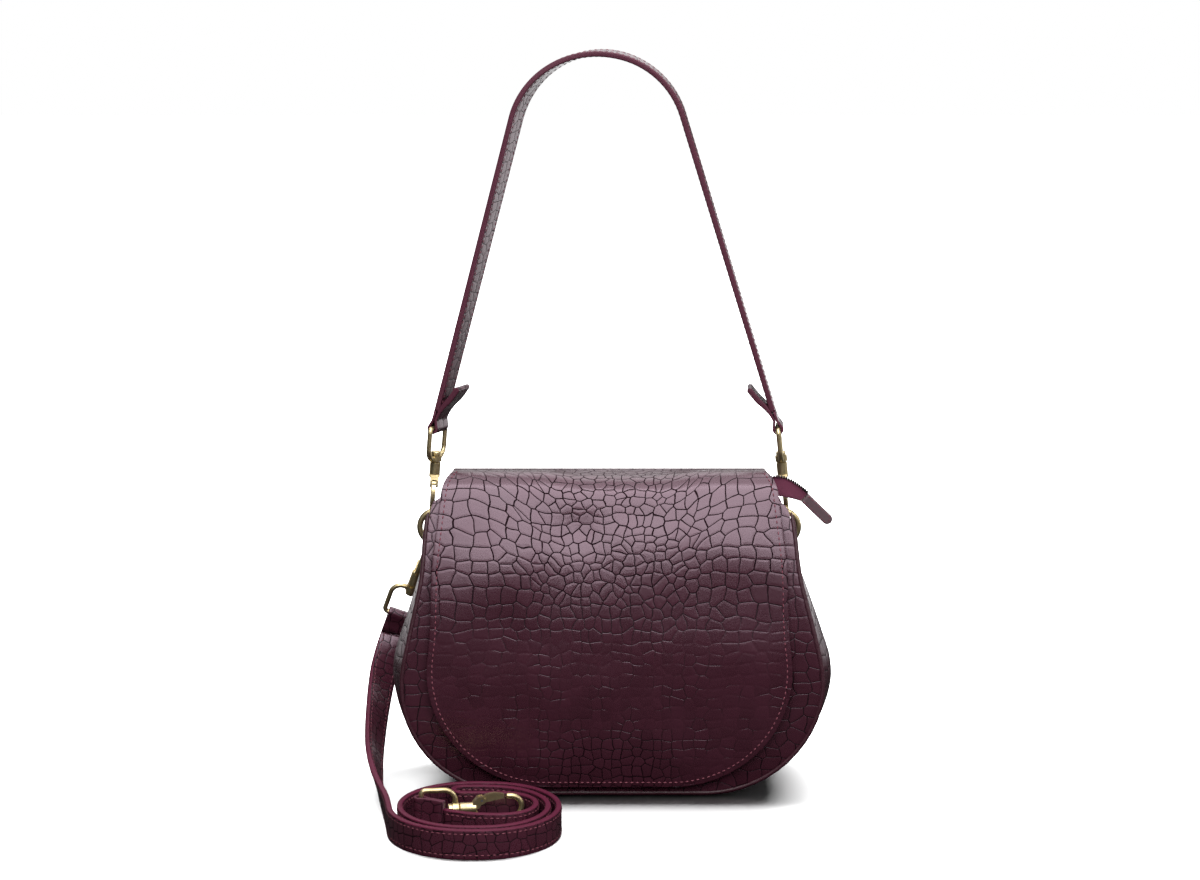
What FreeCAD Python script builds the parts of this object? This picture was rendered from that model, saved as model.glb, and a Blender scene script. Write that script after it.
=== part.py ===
import FreeCAD, Part
import math
import os

os.makedirs("parts", exist_ok=True)

# Frame: origin on the floor under the middle of the bag, +X to its right, +Y to its back, +Z up, in mm

# Body
bag_width = 260.0
panel_top = 192.0
side_slant = 24.0
panel_half_width = bag_width / 2
panel_top_half_width = panel_half_width - side_slant
panel_bottom = 4.5
panel_corner_radius = 70.0
belly_half_depth = 45.0
belly_height = 62.0
top_half_depth = 21.0
leather = 2.0
seam_gap = 0.2
gusset_drop = 16.0
gusset_top = panel_top - gusset_drop
gusset_bulge = 9.0
gusset_bulge_rise = 90.0
gusset_flat_share = 0.68
floor_trim = 0.3
piping_radius = 1.6
piping_gap = 0.25
lining_gap = 0.8
lining_thickness = 0.8
lining_drop = 21.0
lining_top = panel_top - lining_drop
board_inset = 74.0
board_half_length = panel_half_width - board_inset
board_half_width = 24.0
board_thickness = 2.0
pocket_half_width = 48.0
pocket_height = 70.0
pocket_drop = 52.0
pocket_high = panel_top - pocket_drop
pocket_low = pocket_high - pocket_height
pocket_thickness = 1.0

# Flap and its magnet
flap_side_inset = 15.0
flap_top_inset = 6.0
flap_half_width = panel_half_width - flap_side_inset
flap_top_half_width = panel_top_half_width - flap_top_inset
flap_lining_inset = 2.0
flap_bottom = 9.0
flap_corner_radius = 76.0
flap_gap = 1.4
flap_lining_thickness = 1.0
flap_leather = 2.2
flap_rise = 10.0
flap_inside_top = panel_top + flap_rise
flap_outline_margin = 10.0
flap_back_gap = 0.4
flap_front_fillet = 11.0
flap_back_fillet = 8.0
hinge_drop = 2.0
hinge_height = panel_top - hinge_drop
strip_height = 22.0
strip_low = hinge_height - strip_height
layer_gap = 0.05
magnet_radius = 8.0
magnet_stand = 0.5
magnet_hole_gap = 0.2
magnet_back_gap = 0.2

# Zip
zip_drop = 3.4
zip_end_inset = 6.0
zip_level = panel_top - zip_drop
zip_half_length = flap_top_half_width - zip_end_inset
facing_thickness = 1.2
facing_inner = 6.0
facing_seam_gap = 0.5
tape_width = 10.0
tape_thickness = 0.9
teeth_width = 2.5
teeth_height = 1.6
slider_length = 12.0
slider_start = slider_length / 2 - zip_half_length
slider_corner = 2.0
slider_width = 9.0
slider_thickness = 1.8
bridge_length = 8.0
bridge_width = 3.0
bridge_rise = 3.0
bridge_end = 1.3
bridge_roof = 1.2
bridge_root = 0.2
pull_length = 26.0
pull_width = 8.0
pull_thickness = 1.2
pull_corner = 1.5
pull_lift = 0.9
pull_back = 1.4
pull_ring = 1.8
pull_eye_length = 7.2
pull_eye_gap = 0.6
stop_length = 2.2
stop_half_width = 3.0
stop_below = 1.4
stop_above = 0.8
tail_run = 30.7
tail_drop = 4.6
tail_fall = 34.0
tail_half = 3.6
tail_depth = 4.0
tail_crest_run = 15.7
tail_crest_rise = 8.4
tail_belly_run = 14.7
tail_belly_drop = 2.4
tail_root_rise = 0.6
tail_root_drop = 2.0
tail_teeth_half = 1.2
tab_half = 3.9
tab_run = 20.0
tab_half_depth = 2.2
small_gap = 0.3

# Rings
ring_drop = 34.5
ring_side_inset = 3.03
ring_stand = 14.248
ring_z = panel_top - ring_drop
ring_wire = 2.0
ring_bar_half = 8.0
ring_corner = 3.0
ring_bow = 11.0
tab_half_height = 4.2
tab_reach = 24.0
tab_web_over = 1.0
tab_sheet_room = 17.5
tab_bore_gap = 0.2
tab_leather = 1.7

# Snap hooks
hook_wire = 1.7
bow_inner = 5.0
bow_play = 1.4
spine_height = 16.0
nose_height = 1.6
collar_radius = 3.6
collar_low = 21.0
collar_high = 32.0
post_radius = 1.9
post_clearance = 0.07
eye_boss_height = 3.7
eye_boss_radius = 4.0
head_radius = 3.2
head_height = 2.6
eye_wire = 1.6
eye_height = 55.0
eye_low_corner = 7.0
eye_top_corner = 2.6
head_edge = 1.0
collar_edge = 0.8
cheek_half = 2.7
cheek_outline = [(0.0, 24.3), (3.4, 23.6), (7.2, 20.4), (7.5, 17.6), (5.6, 15.5), (3.4, 16.2), (2.2, 18.4), (0.0, 19.9)]
gate_slot_start = 1.6
gate_slot_room = 0.5
gate_half = 1.3
gate_side_gap = 0.15
gate_pivot_x = 5.0
gate_pivot_z = 18.0
gate_boss = 2.3
gate_tip_z = 4.0
gate_tip_out = 8.0
gate_tip_in = 5.6
gate_belly_out = (9.2, 11.0)
gate_belly_in = (4.6, 10.4)
gate_root_out = (7.2, 17.6)
gate_root_in = (3.1, 16.6)
spring_radius = 1.6
spring_half = 0.5
spring_gap = 0.2
pin_radius = 0.8
pin_clearance = 0.05

# Straps
strap_width = 18.5
strap_thickness = 3.5
fold_leather = 2.0
fold_clearance = 0.25
handle_stub = 12.0
tail_length = 30.0
tail_angle = 25.0
arch_radius = 55.5
arch_x = -6.0
arch_z = 411.0
left_twist = 21.0
right_twist = -4.0
left_hook_lean = 4.5
right_hook_lean = 6.0
left_hook_turn = 4.0
right_hook_turn = -4.0
hook_place = 3.0

# Crossbody strap: the hook's place on the left ring, the coil on the floor, the free end
upper_ring_angle = -62.0
upper_hook_way = FreeCAD.Vector(-22.0, 9.0, -60.0)
upper_stub = 14.0
coil_side_inset = 48.5
coil_x = coil_side_inset - panel_half_width
coil_y = -106.0
coil_straight = 10.0
coil_radius = 49.0
coil_pitch = 6.6
hairpin_run = 9.5
hairpin_radius = 6.5
inner_turn_run = 15.5
inner_turn_radius = 21.0
inner_run = 6.0
inner_bend_radius = 50.0
inner_bend = 35.0
free_stub = 18.0
free_hook_angle = 8.0
# outwards from the bag's left side, back, up, and the strap's turn from flat to on edge
riser_route = [
    (18.5, 51.0, 66.0, 24.0),
    (21.0, 36.0, 52.5, 40.0),
    (21.8, 17.0, 42.0, 49.0),
    (21.8, -3.0, 33.0, 55.0),
    (21.2, -21.0, 25.0, 61.0),
    (19.2, -39.0, 18.4, 69.0),
    (15.8, -57.0, 13.4, 78.0),
    (11.6, -74.0, 10.6, 85.0),
    (8.0, -90.0, 9.6, 89.0),
]

V = FreeCAD.Vector
span = 1.3 * panel_half_width


def line(a, b):
    return Part.LineSegment(a, b).toShape()


def arc(a, b, c):
    return Part.Arc(a, b, c).toShape()


def box(low, high):
    size = V(*high) - V(*low)
    return Part.makeBox(size.x, size.y, size.z, V(*low))


def placed(shape, origin, along, side):
    """Shape drawn about the origin, with its +Z turned to along and its +X towards side."""
    z = V(along).normalize()
    x = V(side) - z * z.dot(side)
    x.normalize()
    y = z.cross(x)
    moved = shape.copy()
    moved.Placement = FreeCAD.Placement(FreeCAD.Matrix(
        x.x, y.x, z.x, origin.x, x.y, y.y, z.y, origin.y, x.z, y.z, z.z, origin.z, 0, 0, 0, 1))
    return moved


def tube(edges, radius, closed=False):
    path = Part.Wire(edges)
    start = edges[0].firstVertex().Point if not closed else edges[0].valueAt(edges[0].FirstParameter)
    way = edges[0].tangentAt(edges[0].FirstParameter)
    ring = Part.Wire(Part.makeCircle(radius, start, way))
    solid = path.makePipeShell([ring], True, False)
    wanted = math.pi * radius ** 2 * path.Length
    if abs(solid.Volume - wanted) > 0.02 * wanted:
        print("tube volume", round(solid.Volume, 1), "wanted", round(wanted, 1))
    return solid


parts = {}


def keep(name, shape):
    parts[name] = shape


# Body outline in the XZ plane: top line, slanted sides, round lower corners, bottom line

def corner(half_width, bottom, radius, top_half, top):
    """Centre of the right lower corner and the angle where the side line leaves it."""
    x = half_width - radius
    z = bottom + radius
    reach = math.hypot(top_half - x, top - z)
    lift = math.atan2(top - z, top_half - x) - math.acos(radius / reach)
    return x, z, lift


def outline(half_width, bottom, radius, top_half, top):
    x, z, lift = corner(half_width, bottom, radius, top_half, top)
    middle = (lift - math.pi / 2) / 2

    def at(angle, side):
        return V(side * (x + radius * math.cos(angle)), 0, z + radius * math.sin(angle))

    right = [at(a, 1) for a in (lift, middle, -math.pi / 2)]
    left = [at(a, -1) for a in (-math.pi / 2, middle, lift)]
    edges = [
        line(V(-top_half, 0, top), V(top_half, 0, top)),
        line(V(top_half, 0, top), right[0]),
        arc(*right),
        line(right[2], left[0]),
        arc(*left),
        line(left[2], V(-top_half, 0, top)),
    ]
    return Part.Face(Part.Wire(edges))


def panel_outline(inset):
    return outline(panel_half_width - inset, panel_bottom + inset, panel_corner_radius - inset,
                   panel_top_half_width - inset, panel_top)


def prism(face, low, high):
    start = face.copy()
    start.translate(V(0, low, 0))
    return start.extrude(V(0, high - low, 0))


# Side profile: both faces are arcs about a line along X, fullest at the belly

depth_fall = belly_half_depth - top_half_depth
profile_radius = (depth_fall ** 2 + (panel_top - belly_height) ** 2) / (2 * depth_fall)
profile_centre = belly_half_depth - profile_radius


def depth(z, offset=0.0):
    return profile_centre + math.sqrt((profile_radius + offset) ** 2 - (z - belly_height) ** 2)


def profile_edge(offset, side, low, high):
    points = [V(-span, side * depth(z, offset), z) for z in (low, (low + high) / 2, high)]
    return arc(*points), points[0], points[2]


def between(first, second, low, high):
    """Solid between two profile faces, each given as its offset and its side of the bag."""
    a, a_low, a_high = profile_edge(*first, low, high)
    b, b_low, b_high = profile_edge(*second, low, high)
    face = Part.Face(Part.Wire([a, line(a_high, b_high), b, line(b_low, a_low)]))
    return face.extrude(V(2 * span, 0, 0))


def slab(inner, outer, side, low=-2.0, high=panel_top + 2):
    return between((inner, side), (outer, side), low, high)


def hull(inset, top):
    return prism(panel_outline(inset), -span, span).common(between((-inset, -1), (-inset, 1), -2.0, top))


# Stations round the seam, from the right side under the bag to the left side

def stations(first_height):
    x, z, lift = corner(panel_half_width, panel_bottom, panel_corner_radius,
                        panel_top_half_width, panel_top)
    end_x = x + panel_corner_radius * math.cos(lift)
    end_z = z + panel_corner_radius * math.sin(lift)
    side_steps = 4
    arc_steps = 12
    right = []
    for i in range(side_steps):
        height = first_height + (end_z - first_height) * i / side_steps
        out = end_x + (panel_top_half_width - end_x) * (height - end_z) / (panel_top - end_z)
        right.append((V(out, 0, height), V(math.cos(lift), 0, math.sin(lift))))
    for i in range(arc_steps + 1):
        angle = lift + (-math.pi / 2 - lift) * i / arc_steps
        normal = V(math.cos(angle), 0, math.sin(angle))
        right.append((V(x, 0, z) + normal * panel_corner_radius, normal))
    left = [(V(-p.x, 0, p.z), V(-n.x, 0, n.z)) for p, n in reversed(right)]
    return right + left


def gusset_section(point, normal):
    seam = depth(point.z, -leather) - seam_gap
    under = max(0.0, -normal.z)
    side_bulge = gusset_bulge * min(1.0, (gusset_top - point.z) / gusset_bulge_rise)
    bulge = side_bulge * (1 - under) + (panel_bottom + floor_trim) * under
    flat = gusset_flat_share * seam
    stops = [(-seam, 0.0), (-flat, bulge), (flat, bulge), (seam, 0.0)]
    outer = [point + normal * b + V(0, y, 0) for y, b in stops]
    inner = [point + normal * (b - leather) + V(0, y, 0) for y, b in reversed(stops)]
    return Part.makePolygon(outer + inner + outer[:1])


def piping(side):
    rings = []
    for point, normal in stations(panel_top - 2):
        centre = point + normal * (piping_radius + piping_gap)
        centre.y = side * (depth(point.z) - leather / 2)
        rings.append((centre, normal))
    wires = []
    for i, (centre, normal) in enumerate(rings):
        before = rings[max(i - 1, 0)][0]
        after = rings[min(i + 1, len(rings) - 1)][0]
        wires.append(Part.Wire(Part.makeCircle(piping_radius, centre, after - before)))
    return Part.makeLoft(wires, True, True)


magnet_place = V(0, -belly_half_depth, belly_height)


def disc(radius, low, high):
    """Round plate at the magnet, between two distances in front of the front panel's face."""
    return Part.makeCylinder(radius, high - low, magnet_place - V(0, low, 0), V(0, -1, 0))


front = prism(panel_outline(0), -span, 0).common(slab(-leather, 0, -1))
front = front.cut(disc(magnet_radius + magnet_hole_gap, -leather - 1, 1))
keep("front_panel", front)
keep("back_panel", prism(panel_outline(0), 0, span).common(slab(-leather, 0, 1)))
ring_of_sections = [gusset_section(p, n) for p, n in stations(gusset_top)]
gusset = Part.makeLoft(ring_of_sections, True, True)
keep("gusset", gusset.cut(box((-span, -span, -10), (span, span, 0))))
keep("front_piping", piping(-1))
keep("back_piping", piping(1))

lining_out = leather + lining_gap
lining_in = lining_out + lining_thickness
keep("lining", hull(lining_out, lining_top).cut(hull(lining_in, lining_top + 1)))
board_low = leather + seam_gap
board = box((-board_half_length, -board_half_width, board_low),
            (board_half_length, board_half_width, board_low + board_thickness))
keep("base_board", board)
pocket_out = -lining_in - layer_gap
pocket = slab(pocket_out - pocket_thickness, pocket_out, 1, pocket_low, pocket_high)
keep("slip_pocket", pocket.common(box((-pocket_half_width, 0, 0), (pocket_half_width, span, span * 2))))
keep("magnet_socket", disc(magnet_radius, -leather, magnet_stand))


# Flap: front arc, front fillet, flat top, back fillet, back drop to the hinge

flap_base_top = flap_inside_top - flap_gap
flap_back = top_half_depth + flap_back_gap


def flap_path(offset):
    centre = V(-span, -profile_centre, belly_height)
    radius = profile_radius + offset
    fillet_z = flap_base_top - flap_front_fillet
    reach = math.sqrt((profile_radius - flap_front_fillet) ** 2 - (fillet_z - centre.z) ** 2)
    front = V(-span, centre.y - reach, fillet_z)
    back = V(-span, flap_back - flap_back_fillet, flap_base_top - flap_back_fillet)
    way = V(front - centre).normalize()
    join_angle = math.atan2(way.z, -way.y)
    low_angle = math.asin((flap_bottom - 4 - belly_height) / radius)

    def on_front(angle):
        return centre + V(0, -math.cos(angle), math.sin(angle)) * radius

    def on_fillet(middle, size, angle):
        return middle + V(0, math.cos(angle), math.sin(angle)) * (size + offset)

    turn_start = math.pi - join_angle
    turn_middle = (turn_start + math.pi / 2) / 2
    top_front = on_fillet(front, flap_front_fillet, math.pi / 2)
    top_back = on_fillet(back, flap_back_fillet, math.pi / 2)
    drop = on_fillet(back, flap_back_fillet, 0)
    end = V(-span, drop.y, hinge_height)
    start = on_front(low_angle)
    edges = [
        arc(start, on_front((low_angle + join_angle) / 2), on_front(join_angle)),
        arc(on_front(join_angle), on_fillet(front, flap_front_fillet, turn_middle), top_front),
        line(top_front, top_back),
        arc(top_back, on_fillet(back, flap_back_fillet, math.pi / 4), drop),
        line(drop, end),
    ]
    return edges, start, end


def flap_layer(inner, outer, inset):
    inside, inside_low, inside_end = flap_path(inner)
    outside, outside_low, outside_end = flap_path(outer)
    edges = inside + [line(inside_end, outside_end)] + outside[::-1] + [line(outside_low, inside_low)]
    sheet = Part.Face(Part.Wire(Part.sortEdges(edges)[0])).extrude(V(2 * span, 0, 0))
    shape = outline(flap_half_width - inset, flap_bottom + inset, flap_corner_radius - inset,
                    flap_top_half_width - inset, flap_inside_top + flap_outline_margin)
    return sheet.common(prism(shape, -span, span))


leather_in = flap_gap + flap_lining_thickness + layer_gap
leather_out = leather_in + flap_leather
flap_lining = flap_layer(flap_gap, flap_gap + flap_lining_thickness, flap_lining_inset)
keep("flap", flap_layer(leather_in, leather_out, 0))
keep("flap_lining", flap_lining.cut(disc(magnet_radius + magnet_hole_gap, 0, leather_in)))
keep("magnet_stud", disc(magnet_radius, flap_gap - magnet_stand, leather_in - magnet_back_gap))
strip = slab(seam_gap, seam_gap + flap_leather, 1, strip_low, hinge_height - small_gap)
keep("flap_back_strip", strip.common(box((-flap_top_half_width, 0, 0),
                                         (flap_top_half_width, span, span * 2))))
flap_axis = V(0, flap_back + leather_out, hinge_height)


# Zip: two facings that fold down when the slider opens them, and the free tail at the right

facing_outer = depth(zip_level + facing_thickness, -leather) - facing_seam_gap
facing_top = zip_level + facing_thickness
tape_top = zip_level - layer_gap
teeth_reach = small_gap / 2
for side, name in ((-1, "front"), (1, "back")):
    def strip_box(near, far, low, high):
        y = sorted((side * near, side * far))
        return box((-zip_half_length, y[0], low), (zip_half_length, y[1], high))
    keep("zip_facing_" + name, strip_box(facing_inner, facing_outer, zip_level, facing_top))
    tape_near = teeth_reach + teeth_width + layer_gap
    keep("zip_tape_" + name, strip_box(tape_near, tape_near + tape_width, tape_top - tape_thickness, tape_top))
    keep("zip_teeth_" + name, strip_box(teeth_reach, teeth_reach + teeth_width,
                                        tape_top - teeth_height, tape_top))

plate_low = zip_level + small_gap
plate_high = plate_low + slider_thickness
half_plate = slider_width / 2
plate = box((slider_start - slider_length / 2, -half_plate, plate_low),
            (slider_start + slider_length / 2, half_plate, plate_high))
plate = plate.makeFillet(slider_corner, [e for e in plate.Edges if abs(e.tangentAt(0).z) > 0.9])
half_bridge = bridge_length / 2
arch_box = box((slider_start - half_bridge, -bridge_width / 2, plate_high - bridge_root),
               (slider_start + half_bridge, bridge_width / 2, plate_high + bridge_rise + bridge_roof))
arch_hole = box((slider_start - half_bridge + bridge_end, -bridge_width, plate_high),
                (slider_start + half_bridge - bridge_end, bridge_width, plate_high + bridge_rise))
keep("zip_slider", plate.fuse(arch_box.cut(arch_hole)).removeSplitter())
pull_low = plate_high + pull_lift
pull_start = slider_start - pull_back
pull_plate = box((pull_start, -pull_width / 2, pull_low),
                 (pull_start + pull_length, pull_width / 2, pull_low + pull_thickness))
pull_plate = pull_plate.makeFillet(pull_corner, [e for e in pull_plate.Edges if abs(e.tangentAt(0).z) > 0.9])
pull_hole_half = bridge_width / 2 + pull_eye_gap
pull_hole = box((pull_start + pull_ring, -pull_hole_half, pull_low - pull_thickness),
                (pull_start + pull_ring + pull_eye_length, pull_hole_half, pull_low + 2 * pull_thickness))
keep("zip_pull", pull_plate.cut(pull_hole))
pull_axis = V(pull_start + pull_ring / 2, 0, pull_low + pull_thickness / 2)
stop_start = -zip_half_length - small_gap
keep("zip_end_stop", box((stop_start - stop_length, -stop_half_width, tape_top - stop_below),
                         (stop_start, stop_half_width, tape_top + stop_above)))

tail_start = zip_half_length + small_gap
tail_slope = math.radians(tail_fall)
tail_way = V(math.cos(tail_slope), 0, -math.sin(tail_slope))
tail_up = V(math.sin(tail_slope), 0, math.cos(tail_slope))
tail_end = V(tail_start + tail_run, 0, zip_level - tail_drop)
tail_crest = V(tail_start + tail_crest_run, 0, zip_level + tail_crest_rise)
tail_belly = V(tail_start + tail_belly_run, 0, zip_level - tail_belly_drop)
tail_high = V(tail_start, 0, zip_level + tail_root_rise)
tail_low = V(tail_start, 0, zip_level - tail_root_drop)


def tail_band(top_edge, bottom_edge, half):
    edges = [arc(*top_edge), line(top_edge[2], bottom_edge[0]), arc(*bottom_edge),
             line(bottom_edge[2], top_edge[0])]
    return prism(Part.Face(Part.Wire(edges)), -half, half)


tail_top = [tail_high, tail_crest, tail_end + tail_up * tail_half]
keep("zip_tail_tape", tail_band(tail_top, [tail_end - tail_up * tail_half, tail_belly, tail_low], tail_depth / 2))
teeth_low = [p + V(0, 0, layer_gap) for p in tail_top]
teeth_high = [p + V(0, 0, teeth_height) for p in tail_top]
keep("zip_tail_teeth", tail_band(teeth_high, teeth_low[::-1], tail_teeth_half))
tab_near = tail_end + tail_way * small_gap
tab_far = tail_end + tail_way * tab_run
tab_edges = [
    line(tab_near - tail_up * tab_half, tab_near + tail_up * tab_half),
    line(tab_near + tail_up * tab_half, tab_far + tail_up * tab_half),
    arc(tab_far + tail_up * tab_half, tab_far + tail_way * tab_half, tab_far - tail_up * tab_half),
    line(tab_far - tail_up * tab_half, tab_near - tail_up * tab_half),
]
keep("zip_tail_tab", prism(Part.Face(Part.Wire(tab_edges)), -tab_half_depth, tab_half_depth))


# Rings: drawn with the bar on Z and the bow towards +X

def ring_shape():
    b = ring_bar_half
    c = ring_corner
    r = ring_bow
    k = c * (1 - math.sqrt(0.5))
    edges = [
        line(V(0, 0, -b), V(0, 0, b)),
        arc(V(0, 0, b), V(k, 0, b + c - k), V(c, 0, b + c)),
        arc(V(c, 0, r), V(c + r, 0, 0), V(c, 0, -r)),
        arc(V(c, 0, -r), V(k, 0, -r + k), V(0, 0, -b)),
    ]
    return tube(edges, ring_wire, True)


def ring_point(angle):
    return V(ring_corner + ring_bow * math.cos(angle), 0, ring_bow * math.sin(angle))


side_x, side_z, side_lift = corner(panel_half_width, panel_bottom, panel_corner_radius, panel_top_half_width, panel_top)
side_run = (panel_top - ring_z) * math.tan(side_lift)
ring_bar_x = panel_top_half_width + side_run - ring_side_inset
ring_y = depth(ring_z) + ring_stand
ring_solid = ring_shape()
sleeve_bore = ring_wire + tab_bore_gap
sleeve_outer = sleeve_bore + tab_leather
for side, name in ((-1, "left"), (1, "right")):
    bar = V(side * ring_bar_x, ring_y, ring_z)
    keep(name + "_ring", placed(ring_solid, bar, V(0, 0, 1), V(side, 0, 0)))
    low = ring_z - tab_half_height
    high = ring_z + tab_half_height
    inner_x = ring_bar_x - tab_reach
    outer_x = ring_bar_x + tab_web_over
    x = sorted((side * inner_x, side * outer_x))
    patch = slab(seam_gap, seam_gap + tab_leather, 1, ring_z - tab_sheet_room, ring_z + tab_sheet_room).common(
        box((x[0], 0, low), (x[1], span, high)))
    web_x = sorted((side * (ring_bar_x - sleeve_outer), side * outer_x))
    web_start = depth(low) + seam_gap + tab_leather / 2
    web = box((web_x[0], web_start, low), (web_x[1], ring_y, high))
    sleeve = Part.makeCylinder(sleeve_outer, high - low, V(bar.x, bar.y, low))
    bore = Part.makeCylinder(sleeve_bore, high - low + 2, V(bar.x, bar.y, low - 1))
    keep(name + "_ring_tab", patch.fuse(web).fuse(sleeve).cut(bore).removeSplitter())


# Snap hook, drawn in XZ with its bow about the origin, its gate towards +X and its eye above

bow_line = bow_inner + hook_wire
gate_pivot = V(gate_pivot_x, 0, gate_pivot_z)


def cylinder_y(radius, half, at):
    return Part.makeCylinder(radius, 2 * half, at - V(0, half, 0), V(0, 1, 0))


def hook_shape():
    r = bow_line
    k = r * math.sqrt(0.5)
    top = spine_height + r
    edges = [
        arc(V(0, 0, top), V(-k, 0, spine_height + k), V(-r, 0, spine_height)),
        line(V(-r, 0, spine_height), V(-r, 0, 0)),
        arc(V(-r, 0, 0), V(0, 0, -r), V(r, 0, 0)),
        line(V(r, 0, 0), V(r, 0, nose_height)),
    ]
    wire = tube(edges, hook_wire)
    nose = Part.makeSphere(hook_wire, V(r, 0, nose_height))
    cheek_wire = Part.makePolygon([V(x, -cheek_half, z) for x, z in cheek_outline + cheek_outline[:1]])
    cheek = Part.Face(cheek_wire).extrude(V(0, 2 * cheek_half, 0))
    slot_half = gate_half + gate_side_gap
    slot = box((gate_slot_start, -slot_half, 0), (2 * bow_line, slot_half, gate_pivot_z + gate_boss + gate_slot_room))
    collar = Part.makeCylinder(collar_radius, collar_high - collar_low, V(0, 0, collar_low))
    collar = collar.makeChamfer(collar_edge, [e for e in collar.Edges if e.Curve.TypeId == "Part::GeomCircle"])
    head_low = collar_high + eye_boss_height + 2 * small_gap
    post = Part.makeCylinder(post_radius, head_low - collar_high + 2, V(0, 0, collar_high - 1))
    head = Part.makeCylinder(head_radius, head_height, V(0, 0, head_low))
    head = head.makeFillet(head_edge, [e for e in head.Edges if e.BoundBox.ZMin > head_low + 1 and e.Closed])
    solid = wire.fuse([nose, cheek.cut(slot), collar.cut(slot), post, head])
    solid = solid.cut(cylinder_y(pin_radius, cheek_half + 1, gate_pivot))
    return solid.removeSplitter()


def gate_shape():
    boss = cylinder_y(gate_boss, gate_half, gate_pivot)

    def at(x, z):
        return V(x, -gate_half, z)

    tip_out = at(gate_tip_out, gate_tip_z)
    tip_in = at(gate_tip_in, gate_tip_z)
    edges = [
        arc(at(*gate_root_out), at(*gate_belly_out), tip_out),
        line(tip_out, tip_in),
        arc(tip_in, at(*gate_belly_in), at(*gate_root_in)),
        line(at(*gate_root_in), at(*gate_root_out)),
    ]
    blade = Part.Face(Part.Wire(edges)).extrude(V(0, 2 * gate_half, 0))
    spring_room = cylinder_y(spring_radius + spring_gap, spring_half + spring_gap / 2, gate_pivot)
    bore = cylinder_y(pin_radius + pin_clearance, gate_half + 1, gate_pivot)
    return boss.fuse(blade).cut(bore).cut(spring_room).removeSplitter()


def spring_shape():
    coil = cylinder_y(spring_radius, spring_half, gate_pivot)
    return coil.cut(cylinder_y(pin_radius + 2 * pin_clearance, 2, gate_pivot))


eye_half = strap_width / 2 + eye_top_corner + small_gap


def eye_shape():
    half = eye_half
    low = collar_high + small_gap + eye_boss_height / 2
    high = eye_height

    def bend(x, z, radius, start, side):
        angles = [math.radians(start + 45 * i) for i in range(3)]
        return arc(*[V(side * (x + radius * math.cos(a)), 0, z + radius * math.sin(a)) for a in angles])

    lx = half - eye_low_corner
    lz = low + eye_low_corner
    tx = half - eye_top_corner
    tz = high - eye_top_corner
    edges = [
        line(V(0, 0, low), V(lx, 0, low)),
        bend(lx, lz, eye_low_corner, -90, 1),
        line(V(half, 0, lz), V(half, 0, tz)),
        bend(tx, tz, eye_top_corner, 0, 1),
        line(V(tx, 0, high), V(-tx, 0, high)),
        bend(tx, tz, eye_top_corner, 0, -1),
        line(V(-half, 0, tz), V(-half, 0, lz)),
        bend(lx, lz, eye_low_corner, -90, -1),
        line(V(-lx, 0, low), V(0, 0, low)),
    ]
    loop = tube(Part.sortEdges(edges)[0], eye_wire, True)
    boss = Part.makeCylinder(eye_boss_radius, eye_boss_height, V(0, 0, collar_high + small_gap))
    hole = Part.makeCylinder(post_radius + post_clearance, 20, V(0, 0, collar_high - 5))
    return loop.fuse(boss).cut(hole).removeSplitter()


hook_solid = hook_shape()
gate_solid = gate_shape()
pin_solid = cylinder_y(pin_radius, cheek_half, gate_pivot)
spring_solid = spring_shape()
eye_solid = eye_shape()
seat = bow_inner - ring_wire - bow_play


def snap_hook(name, bow, along, gate, bar):
    """One swivel snap hook: its bow's centre, the way to its eye, its gate's side, its eye bar's way."""
    keep(name + "_hook", placed(hook_solid, bow, along, gate))
    keep(name + "_gate", placed(gate_solid, bow, along, gate))
    keep(name + "_gate_pin", placed(pin_solid, bow, along, gate))
    keep(name + "_gate_spring", placed(spring_solid, bow, along, gate))
    keep(name + "_eye", placed(eye_solid, bow, along, bar))
    z = V(along).normalize()
    x = (V(gate) - z * z.dot(gate)).normalize()
    y = z.cross(x)
    pivot = bow + x * gate_pivot_x + z * gate_pivot_z
    print(name, "swivel", tuple(round(v, 3) for v in bow), tuple(round(v, 5) for v in z))
    print(name, "gate", tuple(round(v, 3) for v in pivot), tuple(round(v, 5) for v in y))
    return bow + z * eye_height


# Strap end: leather folded round an eye's bar, drawn with the bar on X and the strap towards +Z

def strap_end(stub, tail_side):
    half = strap_width / 2
    bore = eye_wire + fold_clearance
    outer = bore + fold_leather
    start = V(-half, 0, 0)
    fold = Part.makeCylinder(outer, strap_width, start, V(1, 0, 0))
    run = box((-half, -strap_thickness / 2, 0), (half, strap_thickness / 2, stub))
    solid = fold.fuse(run)
    if tail_side:
        tail = box((-half, -fold_leather / 2, 0), (half, fold_leather / 2, tail_length))
        tail.rotate(V(0, 0, 0), V(1, 0, 0), -tail_side * tail_angle)
        tail.translate(V(0, tail_side * strap_thickness / 4, outer))
        solid = solid.fuse(tail)
    return solid.cut(Part.makeCylinder(bore, strap_width, start, V(1, 0, 0))).removeSplitter()


# Shoulder strap: two straight legs and one round arch, twisted towards the left leg

hook_angle = math.acos(hook_place / ring_bow)
bars = {}
for side, name, lean, turn in ((-1, "left", left_hook_lean, left_hook_turn),
                               (1, "right", right_hook_lean, right_hook_turn)):
    spot = ring_point(hook_angle)
    seat_point = V(side * (ring_bar_x + spot.x), ring_y, ring_z + spot.z)
    along = V(-side * lean, 0, eye_height).normalize()
    gate = V(math.sin(math.radians(turn)), -math.cos(math.radians(turn)), 0)
    bars[name] = (seat_point + along * seat, along, gate)

arch = V(arch_x, ring_y, arch_z)


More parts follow.
